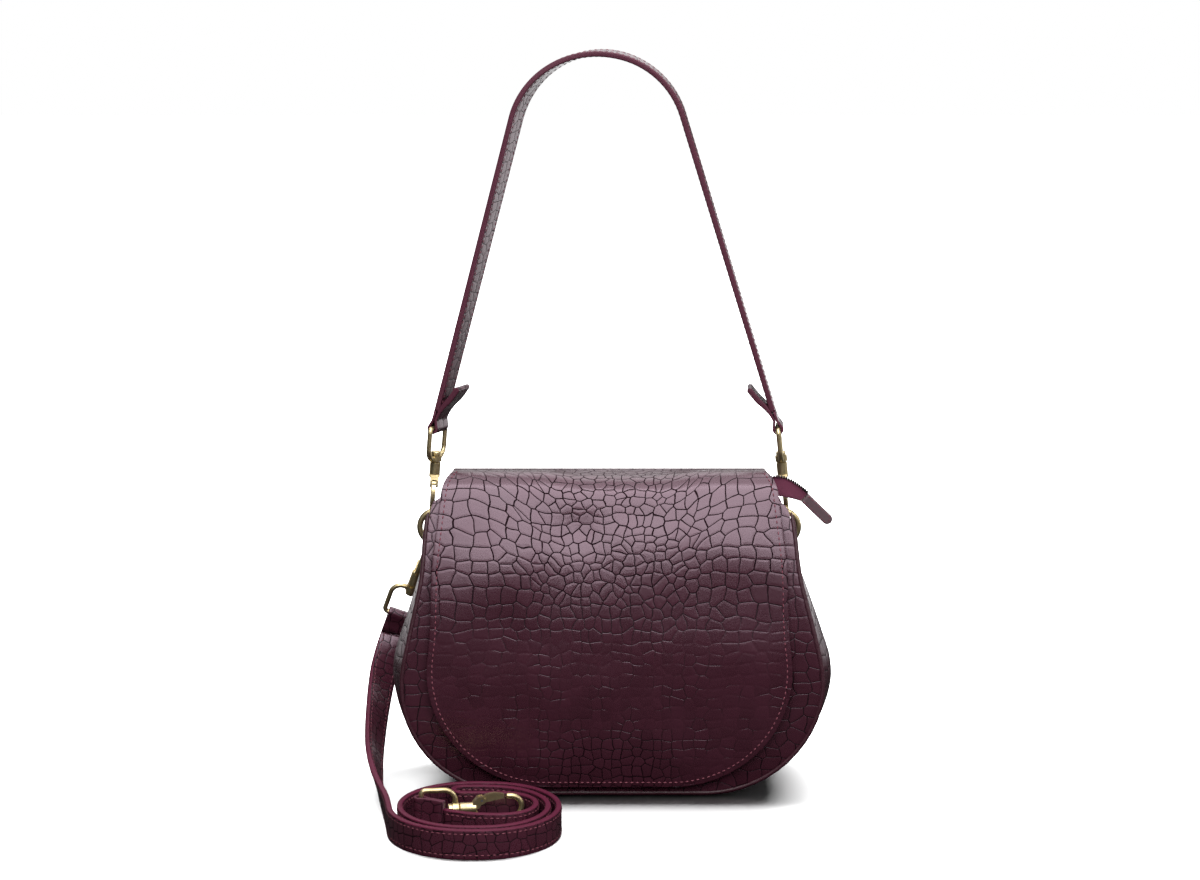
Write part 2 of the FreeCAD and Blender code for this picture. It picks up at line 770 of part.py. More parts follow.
def leg(name, side):
    """Bar centre, tangent point on the arch and its angle for one leg of the shoulder strap."""
    bow, along, gate = bars[name]
    bar = bow + along * eye_height
    off = bar - arch
    reach = math.hypot(off.x, off.z)
    angle = math.atan2(off.z, off.x) + side * math.acos(arch_radius / reach)
    touch = arch + V(math.cos(angle), 0, math.sin(angle)) * arch_radius
    return bar, touch, angle % (2 * math.pi)


def twist_at(share):
    fade = min(1.0, max(0.0, (share - 0.25) / 0.3))
    fade = fade * fade * (3 - 2 * fade)
    return math.radians(left_twist + (right_twist - left_twist) * fade)


left_bar, left_touch, left_angle = leg("left", -1)
right_bar, right_touch, right_angle = leg("right", 1)
left_way = (left_touch - left_bar).normalize()
right_way = (right_touch - right_bar).normalize()
line_points = []
leg_steps = 6
arch_steps = 16
for i in range(leg_steps):
    a = left_bar + left_way * handle_stub
    line_points.append((a + (left_touch - a) * (i / leg_steps), left_way))
for i in range(arch_steps + 1):
    angle = left_angle + (right_angle - left_angle) * i / arch_steps
    out = V(math.cos(angle), 0, math.sin(angle))
    line_points.append((arch + out * arch_radius, V(out.z, 0, -out.x)))
for i in range(1, leg_steps + 1):
    b = right_bar + right_way * handle_stub
    line_points.append((right_touch + (b - right_touch) * (i / leg_steps), right_way * -1))


def width_way(way, twist):
    outer = V(-way.z, 0, way.x)
    return V(0, 1, 0) * math.cos(twist) - outer * math.sin(twist)


def rectangle(centre, way, width):
    thick = way.cross(width).normalize() * (strap_thickness / 2)
    wide = V(width).normalize() * (strap_width / 2)
    corners = [centre + wide + thick, centre + wide - thick, centre - wide - thick, centre - wide + thick]
    return Part.makePolygon(corners + corners[:1])


def square_to(way, axis):
    return (way - axis * axis.dot(way)).normalize()


left_width = square_to(width_way(left_way, twist_at(0)), bars["left"][1])
right_width = square_to(width_way(right_way * -1, twist_at(1)), bars["right"][1])
left_fold = square_to(left_way, left_width)
right_fold = square_to(right_way, right_width)
left_face = left_bar + left_fold * handle_stub
right_face = right_bar + right_fold * handle_stub
last = len(line_points) - 1
sections = [rectangle(left_face, left_fold, left_width)]
for i in range(1, last):
    point, way = line_points[i]
    sections.append(rectangle(point, way, width_way(way, twist_at(i / last))))
sections.append(rectangle(right_face, right_fold * -1, right_width))
keep("shoulder_strap", Part.makeLoft(sections, True, True))
keep("left_strap_end", placed(strap_end(handle_stub, -1), left_bar, left_fold, left_width))
keep("right_strap_end", placed(strap_end(handle_stub, 1), right_bar, right_fold, right_width))
for name, width in (("left", left_width), ("right", right_width)):
    bow, along, gate = bars[name]
    snap_hook(name, bow, along, gate, width)


# Crossbody strap: upper hook on the left ring, riser, coil on the floor, free hook inside the coil

ring_angle = math.radians(upper_ring_angle)
spot = ring_point(ring_angle)
upper_seat = V(-ring_bar_x - spot.x, ring_y, ring_z + spot.z)
upper_way = V(upper_hook_way).normalize()
wire_way = V(math.sin(ring_angle), 0, math.cos(ring_angle))
upper_gate = upper_way.cross(wire_way)
upper_bar = snap_hook("upper", upper_seat + upper_way * seat, upper_way, upper_gate, V(1, 0, 0))
upper_width = V(1, 0, 0) - upper_way * upper_way.x
keep("crossbody_upper_end", placed(strap_end(upper_stub, 0), upper_bar, upper_way, upper_width))

# The coil's middle line as lines and arcs: (centre, radius, start angle, sweep) or (start, end)
coil_left = coil_x - coil_straight / 2
coil_right = coil_x + coil_straight / 2
pen = V(coil_left - coil_radius, coil_y, 0)
coil_line = []


def go_line(end):
    global pen
    coil_line.append(("line", pen, end))
    pen = end


def go_arc(centre, start, sweep):
    global pen
    radius = (pen - centre).Length
    coil_line.append(("arc", centre, radius, math.radians(start), math.radians(sweep)))
    finish = math.radians(start + sweep)
    pen = centre + V(math.cos(finish), math.sin(finish), 0) * radius


coil_start = V(pen)
go_arc(V(coil_left, coil_y, 0), 180, 90)
go_line(V(coil_right, pen.y, 0))
half_turns = 3
for i in range(1, half_turns + 1):
    turn_radius = coil_radius - i * coil_pitch / 2
    if i % 2:
        go_arc(pen + V(0, turn_radius, 0), -90, 180)
        go_line(V(coil_left if i < half_turns else coil_x - hairpin_run, pen.y, 0))
    else:
        go_arc(pen - V(0, turn_radius, 0), 90, 180)
        go_line(V(coil_right, pen.y, 0))
go_arc(pen - V(0, hairpin_radius, 0), 90, 180)
go_line(V(coil_x + inner_turn_run, pen.y, 0))
go_arc(pen - V(0, inner_turn_radius, 0), 90, -180)
go_line(pen - V(inner_run, 0, 0))
go_arc(pen + V(0, inner_bend_radius, 0), -90, -inner_bend)
coil_end = V(pen)
end_angle = math.radians(-90 - inner_bend)
coil_end_way = V(math.sin(end_angle), -math.cos(end_angle), 0)


def coil_side(offset):
    """Edges of the coil's band on one side of its middle line, positive on the left of its way."""
    edges = []
    for piece in coil_line:
        if piece[0] == "line":
            way = (piece[2] - piece[1]).normalize()
            shift = V(-way.y, way.x, 0) * offset
            edges.append(line(piece[1] + shift, piece[2] + shift))
        else:
            centre, radius, start, sweep = piece[1:]
            reach = radius - math.copysign(offset, sweep * offset)
            points = [centre + V(math.cos(start + sweep * k), math.sin(start + sweep * k), 0) * reach
                      for k in (0, 0.5, 1)]
            edges.append(arc(*points))
    return edges


def coil_points(step):
    points = []
    for piece in coil_line:
        if piece[0] == "line":
            length = (piece[2] - piece[1]).Length
            count = max(1, int(length / step))
            points += [piece[1] + (piece[2] - piece[1]) * (i / count) for i in range(count)]
        else:
            centre, radius, start, sweep = piece[1:]
            count = max(1, int(radius * abs(sweep) / step))
            for i in range(count):
                angle = start + sweep * i / count
                points.append(centre + V(math.cos(angle), math.sin(angle), 0) * radius)
    return points


left_edges = coil_side(strap_thickness / 2)
right_edges = coil_side(-strap_thickness / 2)
left_start = left_edges[0].valueAt(left_edges[0].FirstParameter)
right_start = right_edges[0].valueAt(right_edges[0].FirstParameter)
left_end = left_edges[-1].valueAt(left_edges[-1].LastParameter)
right_end = right_edges[-1].valueAt(right_edges[-1].LastParameter)
coil_edges = left_edges + right_edges + [line(left_start, right_start), line(left_end, right_end)]
coil_face = Part.Face(Part.Wire(Part.sortEdges(coil_edges)[0]))
keep("crossbody_coil", coil_face.extrude(V(0, 0, strap_width)))

points = coil_points(1.0)
near = 12
least = min((points[i] - points[j]).Length for i in range(0, len(points), 2)
            for j in range(i + near, len(points), 2))
print("coil least gap to itself", round(least - strap_thickness, 2))
coil_length = sum((points[i + 1] - points[i]).Length for i in range(len(points) - 1))

# The riser: from the upper end's face to the coil's first face, turning from flat to on edge
riser_start = upper_bar + upper_way * upper_stub
riser_end = coil_start + V(0, 0, strap_width / 2)
route = [(riser_start, 0.0)] + [(V(-panel_half_width - x, y, z), math.radians(t)) for x, y, z, t in riser_route]
route.append((riser_end, math.pi / 2))
riser_sections = []
riser_length = 0.0
for i, (point, turn) in enumerate(route):
    if i == 0:
        way = upper_way
    elif i == len(route) - 1:
        way = V(0, -1, 0)
    else:
        way = (route[i + 1][0] - route[i - 1][0]).normalize()
        before = point - route[i - 1][0]
        after = route[i + 1][0] - point
        bend = before.getAngle(after)
        print("riser radius", round(0.45 * min(before.Length, after.Length) / math.tan(max(bend, 0.01) / 2)))
    if i:
        riser_length += (point - route[i - 1][0]).Length
    flat = (V(1, 0, 0) - way * way.x).normalize()
    width = flat * math.cos(turn) + flat.cross(way) * math.sin(turn)
    riser_sections.append(rectangle(point, way, width))
keep("crossbody_riser", Part.makeLoft(riser_sections, True, True))

free_hook_lift = eye_half + eye_wire + small_gap
free_bar = coil_end + coil_end_way * free_stub + V(0, 0, free_hook_lift)
hook_turn = math.radians(free_hook_angle)
free_way = V(-math.cos(hook_turn), -math.sin(hook_turn), 0)
free_bow = free_bar - free_way * eye_height
snap_hook("free", free_bow, free_way, V(0, 0, 1), V(0, 0, 1))
keep("crossbody_free_end", placed(strap_end(free_stub, 0), free_bar, coil_end_way * -1, V(0, 0, 1)))
print("crossbody strap length", round(riser_length + coil_length + upper_stub + free_stub))
print("flap axis", tuple(round(v, 3) for v in flap_axis), "pull axis", tuple(round(v, 3) for v in pull_axis))
print("facing axis", round(facing_outer, 3), zip_level, "handle axis", tuple(round(v, 3) for v in bars["left"][0]))

for name, shape in parts.items():
    if not shape.isValid() or shape.Volume <= 0 or len(shape.Solids) != 1:
        print("check", name, shape.isValid(), round(shape.Volume, 1), len(shape.Solids))
    shape.exportStep("parts/" + name + ".step")
print(len(parts), "nodes")
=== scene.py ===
import bpy
import bmesh
import math
from mathutils import Matrix, Vector, noise


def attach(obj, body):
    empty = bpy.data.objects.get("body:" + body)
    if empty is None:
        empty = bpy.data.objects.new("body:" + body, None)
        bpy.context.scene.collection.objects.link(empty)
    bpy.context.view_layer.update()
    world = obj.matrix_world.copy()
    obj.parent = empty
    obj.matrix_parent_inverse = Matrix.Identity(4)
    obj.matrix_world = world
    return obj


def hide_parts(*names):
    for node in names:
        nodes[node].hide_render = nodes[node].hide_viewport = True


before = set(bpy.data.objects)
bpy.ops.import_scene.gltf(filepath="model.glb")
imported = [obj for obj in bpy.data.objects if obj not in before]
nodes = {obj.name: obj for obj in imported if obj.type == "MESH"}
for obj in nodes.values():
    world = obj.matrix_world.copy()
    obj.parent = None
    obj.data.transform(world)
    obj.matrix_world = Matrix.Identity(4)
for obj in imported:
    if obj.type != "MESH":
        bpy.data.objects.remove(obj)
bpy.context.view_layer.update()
print("frame loaded")


class Wire:  # a socket that takes plain arithmetic
    def __init__(self, board, socket):
        self.board = board
        self.socket = socket

    def join(self, operation, first, second):
        return self.board.add("ShaderNodeMath", {"operation": operation}, {0: first, 1: second})

    def __add__(self, other):
        return self.join("ADD", self, other)

    def __radd__(self, other):
        return self.join("ADD", other, self)

    def __sub__(self, other):
        return self.join("SUBTRACT", self, other)

    def __rsub__(self, other):
        return self.join("SUBTRACT", other, self)

    def __mul__(self, other):
        return self.join("MULTIPLY", self, other)

    def __rmul__(self, other):
        return self.join("MULTIPLY", other, self)


class Board:  # the nodes of one material or of the world
    def __init__(self, tree):
        self.tree = tree
        tree.nodes.clear()

    def add(self, kind, settings=None, inputs=None, output=0):
        node = self.tree.nodes.new(kind)
        for label, value in (settings or {}).items():
            setattr(node, label, value)
        for label, value in (inputs or {}).items():
            if isinstance(value, Wire):
                self.tree.links.new(value.socket, node.inputs[label])
            else:
                node.inputs[label].default_value = value
        return Wire(self, node.outputs[output]) if node.outputs else node


class Finish(Board):  # one material with its Principled shader
    def __init__(self, name, **constants):
        self.material = bpy.data.materials.new(name)
        self.material.use_nodes = True
        super().__init__(self.material.node_tree)
        fixed = {label.replace("_", " "): value for label, value in constants.items()}
        self.surface = self.add("ShaderNodeBsdfPrincipled", None, fixed)
        self.out = self.add("ShaderNodeOutputMaterial", None, {0: self.surface})

    def mix(self, factor, first, second):
        return self.add("ShaderNodeMix", {"data_type": "RGBA"}, {0: factor, 6: first, 7: second}, 2)

    def step(self, value, low, high, start=0.0, end=1.0):
        return self.add("ShaderNodeMapRange", {"interpolation_type": "SMOOTHSTEP"},
                        {"Value": value, "From Min": low, "From Max": high, "To Min": start, "To Max": end})

    def speckle(self, scale, detail=2.0):
        spot = self.add("ShaderNodeTexCoord", output="Object")
        return self.add("ShaderNodeTexNoise", None, {"Vector": spot, "Scale": scale, "Detail": detail})

    def feed(self, label, wire):
        self.tree.links.new(wire.socket, self.surface.socket.node.inputs[label])

    def dull(self, factor, colour):  # a matt dark shader where the factor is high; in the croc leather's grooves it is painted shade
        matt = self.add("ShaderNodeBsdfDiffuse", None, {"Color": colour})
        both = self.add("ShaderNodeMixShader", None, {0: factor, 1: self.surface, 2: matt})
        self.tree.links.new(both.socket, self.out.inputs[0])

    def bump(self, height, distance):
        self.feed("Normal", self.add("ShaderNodeBump", None, {"Strength": 1.0, "Distance": distance, "Height": height}))


leatherLook = {
    "dark": (0.020, 0.0040, 0.0076, 1),
    "light": (0.045, 0.0098, 0.0185, 1),
    # groove colours: deepLine dark, faintLine paler; where the flap switches between them by height, the dark is
    # painted shade and the pale a painted highlight
    "deepLine": (0.0055, 0.0012, 0.0024, 1),
    "faintLine": (0.022, 0.0050, 0.0085, 1),
    "sheen": (1.0, 0.80, 0.92, 1),
    "gloss": 0.75, "roughness": 0.20,
    "lineEdge": (0.12, 0.42), "pillowEdge": (0.0, 2.0),  # millimetres from a cell's edge
}
# the other croc leather: no line worn away, and a matt dark shader in every groove, painted shade
evenWearAndShade = {"mixing": 0.52, "kept": 1.0, "groove": leatherLook["deepLine"], "dull": 0.60, "rough": 0.10, "sunk": 0.11}
flapLook = {  # heights and half widths in metres between which the flap's pattern changes
    "roundHeight": (0.098, 0.140), "roundHalf": (0.045, 0.085), "footHeight": (0.030, 0.052),
    "footHalf": (0.022, 0.052), "wornHalf": (0.055, 0.095), "foldHeight": (0.2020, 0.2056),
}
plainLook = {  # dark and light colour, roughness, gloss
    "piping_leather": ((0.020, 0.0040, 0.0076, 1), (0.045, 0.0098, 0.0185, 1), 0.36, 0.36),
    # the zip tab's leather painted much lighter than the bag's, a painted sheen
    "tab_leather_painted_sheen": ((0.060, 0.030, 0.037, 1), (0.115, 0.074, 0.085, 1), 0.38, 0.5),
    "edge_paint": ((0.055, 0.005, 0.017, 1), (0.095, 0.009, 0.031, 1), 0.5, 0.2),
    "strap_edge": ((0.050, 0.010, 0.020, 1), (0.090, 0.019, 0.038, 1), 0.5, 0.25),
    "sewing_thread": ((0.10, 0.028, 0.041, 1), (0.20, 0.060, 0.082, 1), 0.6, 0.2),
    "board_plastic": ((0.02, 0.018, 0.018, 1), (0.04, 0.035, 0.035, 1), 0.6, 0.36),
}
weaveLook = {  # dark and light colour, pitch of the weave
    "lining_cloth": ((0.03, 0.006, 0.012, 1), (0.075, 0.014, 0.028, 1), 0.9),
    "zip_cloth": ((0.065, 0.007, 0.024, 1), (0.165, 0.020, 0.062, 1), 0.8),
}
metalLook = {  # bright and dull colour, roughness, patina
    "aged_brass": ((0.66, 0.54, 0.31, 1), (0.30, 0.23, 0.115, 1), 0.30, 0.8),
    "zip_metal": ((0.045, 0.038, 0.037, 1), (0.012, 0.010, 0.010, 1), 0.40, 0.6),
    "plain_steel": ((0.55, 0.55, 0.55, 1), (0.25, 0.24, 0.23, 1), 0.28, 0.5),
}


def flapWearAndShade(f):
    # round cells and whole lines above, worn rows of tiles below, whole lines again in a patch at the foot; above and
    # at the foot the grooves are painted dark with more matt shader, painted shade against the sheen, and between them
    # paler, a painted highlight on their lips
    place = f.add("ShaderNodeTexCoord", output="Object")
    height = f.add("ShaderNodeSeparateXYZ", None, {0: place}, 2)
    along = f.add("ShaderNodeSeparateXYZ", None, {0: place}, 0)
    aside = f.add("ShaderNodeMath", {"operation": "ABSOLUTE"}, {0: along})
    upper = f.step(height, *flapLook["roundHeight"])
    foot = f.step(aside, *flapLook["footHalf"], 1.0, 0.0) * f.step(height, *flapLook["footHeight"], 1.0, 0.0)
    whole = f.add("ShaderNodeMath", {"operation": "MAXIMUM"}, {0: upper, 1: foot})
    worn = f.speckle(62.0) + whole * 0.6 - f.step(aside, *flapLook["wornHalf"], 0.0, 0.07)
    return {"mixing": 0.46 + upper * f.step(aside, *flapLook["roundHalf"], 0.36, 0.0),
            "kept": f.step(worn, 0.42, 0.66, 0.04, 1.0) * f.step(height, *flapLook["foldHeight"], 1.0, 0.4),
            # groove colour and matt shader by height: painted shade above and at the foot, a painted highlight on the
            # paler grooves below
            "groove": f.mix(whole, leatherLook["faintLine"], leatherLook["deepLine"]),
            "dull": 0.45 + whole * 0.40, "rough": 0.10 + upper * 0.40, "sunk": 0.15 + upper * 0.27 - foot * 0.07}


def makeCroc(name, depth, wearAndShadeOf=None, shade=1.0):
    f = Finish(name, Specular_IOR_Level=leatherLook["gloss"], Specular_Tint=leatherLook["sheen"])
    wearAndShade = wearAndShadeOf(f) if wearAndShadeOf else evenWearAndShade
    spot = f.add("ShaderNodeUVMap", {"uv_map": "croc"})
    size = f.add("ShaderNodeAttribute", {"attribute_name": "cell"}, output="Fac")
    sway = f.add("ShaderNodeTexNoise", None, {"Vector": spot, "Scale": 0.4, "Detail": 1.5}, "Color")
    shift = f.add("ShaderNodeVectorMath", {"operation": "SCALE"}, {0: sway, "Scale": 1.1})
    spot = f.add("ShaderNodeVectorMath", {"operation": "ADD"}, {0: spot, 1: shift})
    settings = {"Vector": spot, "Scale": 1.0, "Randomness": wearAndShade["mixing"]}
    edge = f.add("ShaderNodeTexVoronoi", {"feature": "DISTANCE_TO_EDGE", "voronoi_dimensions": "2D"}, settings) * size
    cell = f.add("ShaderNodeTexVoronoi", {"feature": "F1", "voronoi_dimensions": "2D"}, settings, "Color")
    tone = f.add("ShaderNodeSeparateColor", None, {0: cell})
    fine = f.speckle(1500.0)
    broad = f.speckle(38.0, 3.0)
    line = f.step(edge, *leatherLook["lineEdge"], 1.0, 0.0) * wearAndShade["kept"]
    pillow = f.step(edge, *leatherLook["pillowEdge"])
    # shade lightens the skin colours; above 1 the leather is a lighter copy of the bag's, a painted sheen
    dark, light = [[c * shade for c in leatherLook[key][:3]] + [1] for key in ("dark", "light")]
    skin = f.mix(tone * 0.25 + broad * 0.55 + fine * 0.25, dark, light)
    # groove colour from the wearAndShade table; on the flap its change with height is painted shade above and a painted
    # highlight below
    f.feed("Base Color", f.mix(line, skin, wearAndShade["groove"]))
    # painted shade: a matt dark shader mixed into the grooves
    f.dull(line * wearAndShade["dull"], leatherLook["deepLine"])
    f.feed("Roughness", leatherLook["roughness"] + line * wearAndShade["rough"] + fine * 0.08 + broad * 0.08)
    f.bump(pillow * 0.12 - line * wearAndShade["sunk"] + fine * 0.05, depth)
    return f.material


def makePlain(name, dark, light, roughness, gloss):
    f = Finish(name, Specular_IOR_Level=gloss)
    fine = f.speckle(1300.0, 3.0)
    broad = f.speckle(60.0, 2.0)
    f.feed("Base Color", f.mix(fine * 0.4 + broad * 0.6, dark, light))
    f.feed("Roughness", roughness + fine * 0.2)
    f.bump(fine + broad * 0.5, 0.00018)
    return f.material


def makeWeave(name, dark, light, pitch):
    f = Finish(name, Roughness=0.85, Sheen_Weight=0.25)
    spot = f.add("ShaderNodeUVMap", {"uv_map": "croc"})
    scaled = f.add("ShaderNodeVectorMath", {"operation": "SCALE"}, {0: spot, "Scale": 6.283 / pitch})
    axes = [f.add("ShaderNodeSeparateXYZ", None, {0: scaled}, i) for i in (0, 1)]
    waves = [f.add("ShaderNodeMath", {"operation": "SINE"}, {0: a}) for a in axes]
    weave = waves[0] * waves[1] * 0.5 + 0.5
    fuzz = f.speckle(2200.0)
    f.feed("Base Color", f.mix(weave * 0.7 + fuzz * 0.4, dark, light))
    f.bump(weave + fuzz * 0.4, 0.0002)
    return f.material


def makeMetal(name, bright, dull, roughness, patina):
    f = Finish(name, Metallic=1.0)
    cloud = f.speckle(160.0, 4.0)
    fine = f.speckle(1900.0, 2.0)
    age = f.step(cloud, 0.38, 0.72) * patina
    f.feed("Base Color", f.mix(age, bright, dull))
    f.feed("Roughness", roughness + fine * 0.10 + age * 0.16)
    f.bump(fine * 0.5 + cloud, 0.00006)
    return f.material


flapLeather = makeCroc("flap_leather", 0.0006, flapWearAndShade)
crocLeather = makeCroc("croc_leather", 0.0006)
# the strap's leather is the bag's painted 1.35 times lighter, a painted sheen
strapLeather = makeCroc("strap_leather", 0.0004, shade=1.35)
pipingLeather, tabLeatherPaintedSheen, edgePaint, strapEdge, sewThread, boardPlastic = [
    makePlain(name, *look) for name, look in plainLook.items()]
liningCloth, zipCloth = [makeWeave(name, *look) for name, look in weaveLook.items()]
agedBrass, zipMetal, plainSteel = [makeMetal(name, *look) for name, look in metalLook.items()]
print("finishes made")


def settle(bm, name, finishes, body, stands=(), smooth=True):
    mesh = bpy.data.meshes.new(name)
    for face in bm.faces:
        face.smooth = smooth
    bm.to_mesh(mesh)
    bm.free()
    for finish in finishes:
        mesh.materials.append(finish)
    piece = bpy.data.objects.new(name, mesh)
    bpy.context.scene.collection.objects.link(piece)
    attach(piece, body)
    if stands:
        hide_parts(*stands)
    return piece


def shapeGrid(across, along, place, close=False, flip=False, edgeOf=None, cell=9.0):
    # a grid bent to its place, in millimetres; place gives a point and a pattern spot
    bm = bmesh.new()
    pattern = bm.loops.layers.uv.new("croc")
    sizes = bm.verts.layers.float.new("cell")
    bmesh.ops.create_grid(bm, x_segments=across, y_segments=along, size=1.0)
    spots = {}
    for vert in bm.verts:
        u, v = (vert.co.x + 1) / 2, (vert.co.y + 1) / 2
        point, spot = place(u, v)
        vert.co = Vector(point) * 0.001
        spots[vert] = spot[:2]
        vert[sizes] = spot[2] if len(spot) > 2 else cell
        if edgeOf:
            vert.tag = edgeOf(u)
    for face in bm.faces:
        for loop in face.loops:
            loop[pattern].uv = spots[loop.vert]
        if edgeOf and all(v.tag for v in face.verts):
            face.material_index = 1
    if close:
        bmesh.ops.remove_doubles(bm, verts=bm.verts, dist=1e-6)
        rims = [e for e in bm.edges if e.is_boundary]
        if rims:
            bmesh.ops.holes_fill(bm, edges=rims, sides=0)
        bmesh.ops.recalc_face_normals(bm, faces=bm.faces)
    elif flip:
        bmesh.ops.reverse_faces(bm, faces=bm.faces)
    return bm


def thicken(piece, thickness, soften=0.0, rim=0):
    wall = piece.modifiers.new("wall", "SOLIDIFY")
    wall.thickness = thickness * 0.001
    wall.offset = -1.0
    wall.use_even_offset = True
    wall.material_offset_rim = rim
    if soften:
        soft = piece.modifiers.new("soft edge", "BEVEL")
        soft.width = soften * 0.001
        soft.segments = 2
        soft.limit_method = "ANGLE"
        soft.angle_limit = math.radians(50)


def bandSection(width, thick, soft, spans=6):
    # rounded rectangle as (across, up) points, starting on the upper face
    half, rise = width / 2, thick / 2
    points = [(-half + soft + (width - 2 * soft) * i / spans, rise) for i in range(spans + 1)]
    points += [(half - soft + soft * math.sin(a), rise - soft + soft * math.cos(a)) for a in (0.52, 1.05, 1.571)]
    points += [(half, -rise + soft)]
    points += [(half - soft + soft * math.cos(a), -rise + soft - soft * math.sin(a)) for a in (0.52, 1.05)]
    points += [(-x, -y) for x, y in points]
    return points


def bandPiece(name, frames, width, thick, soft, finishes, body, stands, cell=7.5, spans=6):
    section = bandSection(width, thick, soft, spans)
    count = len(section)
    runs = [0.0]
    for a, b in zip(frames, frames[1:]):
        runs.append(runs[-1] + (b[0] - a[0]).length)

    def place(u, v):
        i = round(v * (len(frames) - 1))
        point, wide, up = frames[i]
        x, y = section[round(u * count) % count]
        return point + wide * x + up * y, (runs[i] / cell, (x + (40 if y < 0 else 0)) / cell)

    def onEdge(u):
        x, y = section[round(u * count) % count]
        return abs(x) > width / 2 - soft * 1.01

    bm = shapeGrid(count, len(frames) - 1, place, True, edgeOf=onEdge, cell=cell)
    return settle(bm, name, finishes, body, stands)


def tubePiece(name, rings, finishes, body, stands, sides):
    # rings of (centre, first way, second way, radius)
    def place(u, v):
        i = round(v * (len(rings) - 1))
        centre, first, second, radius = rings[i]
        a = 2 * math.pi * (round(u * sides) % sides) / sides
        return centre + (first * math.cos(a) + second * math.sin(a)) * radius, (i * 0.3, u * 2)

    return settle(shapeGrid(sides, len(rings) - 1, place, True), name, finishes, body, stands)


def seatOf(point, way, up, size):
    side = up.cross(way).normalized()
    turn = Matrix((way, side, up)).transposed().to_4x4()
    grow = Matrix.Diagonal((size[0] / 1000, size[1] / 1000, size[2] / 1000, 1))
    return Matrix.Translation(point * 0.001) @ turn @ grow


def repeated(shape, seats):
    bm = bmesh.new()
    for seat in seats:
        shape.transform(seat)
        bm.from_mesh(shape)
        shape.transform(seat.inverted())
    return bm


def smallShape(name, make):
    bm = bmesh.new()
    make(bm)
    shape = bpy.data.meshes.new(name)
    bm.to_mesh(shape)
    bm.free()
    return shape


def toothForm(bm):
    bmesh.ops.create_cube(bm, size=1.0)
    bmesh.ops.bevel(bm, geom=list(bm.edges), offset=0.16, affect="EDGES", segments=1, profile=0.5, material=-1)


def grainForm(bm):
    bmesh.ops.create_uvsphere(bm, u_segments=6, v_segments=4, radius=0.5)


threadGrain = smallShape("thread_grain", grainForm)
zipTooth = smallShape("zip_tooth", toothForm)


def stitchRow(name, spots, size, body):
    # spots of (point, way, up); a stitch is a small grain of thread
    bm = repeated(threadGrain, [seatOf(point, way, up, size) for point, way, up in spots])
    return settle(bm, name, [sewThread], body)


def spaced(points, pitch, start=0.0):
    # spots at an even pitch along a line of points, each with its way and the number of its stretch
    found, reach, walked = [], start, 0.0
    for i, (a, b) in enumerate(zip(points, points[1:])):
        length = (b - a).length
        while reach <= walked + length and length > 0:
            found.append((a.lerp(b, (reach - walked) / length), (b - a).normalized(), i))
            reach += pitch
        walked += length
    return found


def headings(points):
    # each point of a line with the way it runs there
    last = len(points) - 1
    return [(point, (points[min(i + 1, last)] - points[max(i - 1, 0)]).normalized()) for i, point in enumerate(points)]


# Body of the bag

bag = {"halfWidth": 130.0, "topHalf": 106.0, "top": 192.0, "bottom": 4.5, "corner": 70.0,
       "bellyDepth": 45.0, "bellyHeight": 62.0, "topDepth": 21.0, "leather": 2.0,
       "gussetTop": 176.0, "bulge": 9.0, "bulgeRise": 90.0, "piping": 1.6, "pipingGap": -0.45,
       "topCorner": 11.0, "leftCorner": 4.5, "sink": 1.8, "sinkHeight": (18.0, 60.0), "lean": 3.6, "leanOver": 120.0,
       "leanHeight": 90.0, "leanReach": 62.0, "shoulder": 5.2, "shoulderHeight": (135.0, 52.0), "shoulderHalf": 110.0,
       "panelWall": 1.7, "gussetWall": 1.6, "gussetRun": 0.929, "pipingRun": 0.957, "crown": 3.4, "sag": 1.1,
       "slack": [(0.9, 55, 48, 0), (0.35, 22, 20, 4)]}  # height, reach across and up, seed
fall = bag["bellyDepth"] - bag["topDepth"]
arcRadius = (fall ** 2 + (bag["top"] - bag["bellyHeight"]) ** 2) / (2 * fall)


def depthAt(z, offset=0.0):
    return bag["bellyDepth"] - arcRadius + math.sqrt((arcRadius + offset) ** 2 - (z - bag["bellyHeight"]) ** 2)


def outlineAt(shape, t):
    # right half of an outline, 0 where its round corner starts below, 1 at its top
    x, z = shape["halfWidth"] - shape["corner"], shape["bottom"] + shape["corner"]
    reach = math.hypot(shape["topHalf"] - x, shape["top"] - z)
    lift = math.atan2(shape["top"] - z, shape["topHalf"] - x) - math.acos(shape["corner"] / reach)
    endX, endZ = x + shape["corner"] * math.cos(lift), z + shape["corner"] * math.sin(lift)
    arcRun = shape["corner"] * (lift + math.pi / 2)
    sideRun = math.hypot(shape["topHalf"] - endX, shape["top"] - endZ)
    run = t * (arcRun + sideRun)
    if run < arcRun:
        a = -math.pi / 2 + run / shape["corner"]
        return x + shape["corner"] * math.cos(a), z + shape["corner"] * math.sin(a), a
    k = (run - arcRun) / sideRun
    return endX + (shape["topHalf"] - endX) * k, endZ + (shape["top"] - endZ) * k, lift


def ramp(value, start, over):
    # smooth rise from 0 at the start to 1 at the end of the stretch
    x = min(1.0, max(0.0, (value - start) / over))
    return x * x * (3 - 2 * x)


def spread(x, z, front):
    # the right side bellies out further than the left, and the front stands wider at its top
    belly = bag["lean"] * ramp(x, 0, bag["leanOver"]) * math.exp(-((z - bag["leanHeight"]) / bag["leanReach"]) ** 2)
    rise = ramp(z, *bag["shoulderHeight"])
    return x + belly + front * bag["shoulder"] * rise * x / bag["shoulderHalf"]


def slack(x, z, seed):
    # slow hand of soft leather, in millimetres
    return sum(height * noise.noise(Vector((x / across, z / up, seed + more)))
               for height, across, up, more in bag["slack"])


def cornerCut(z, corner):
    over = min(1.0, max(0.0, (z - bag["top"] + corner) / corner))
    return corner * (1 - math.sqrt(1 - over * over))


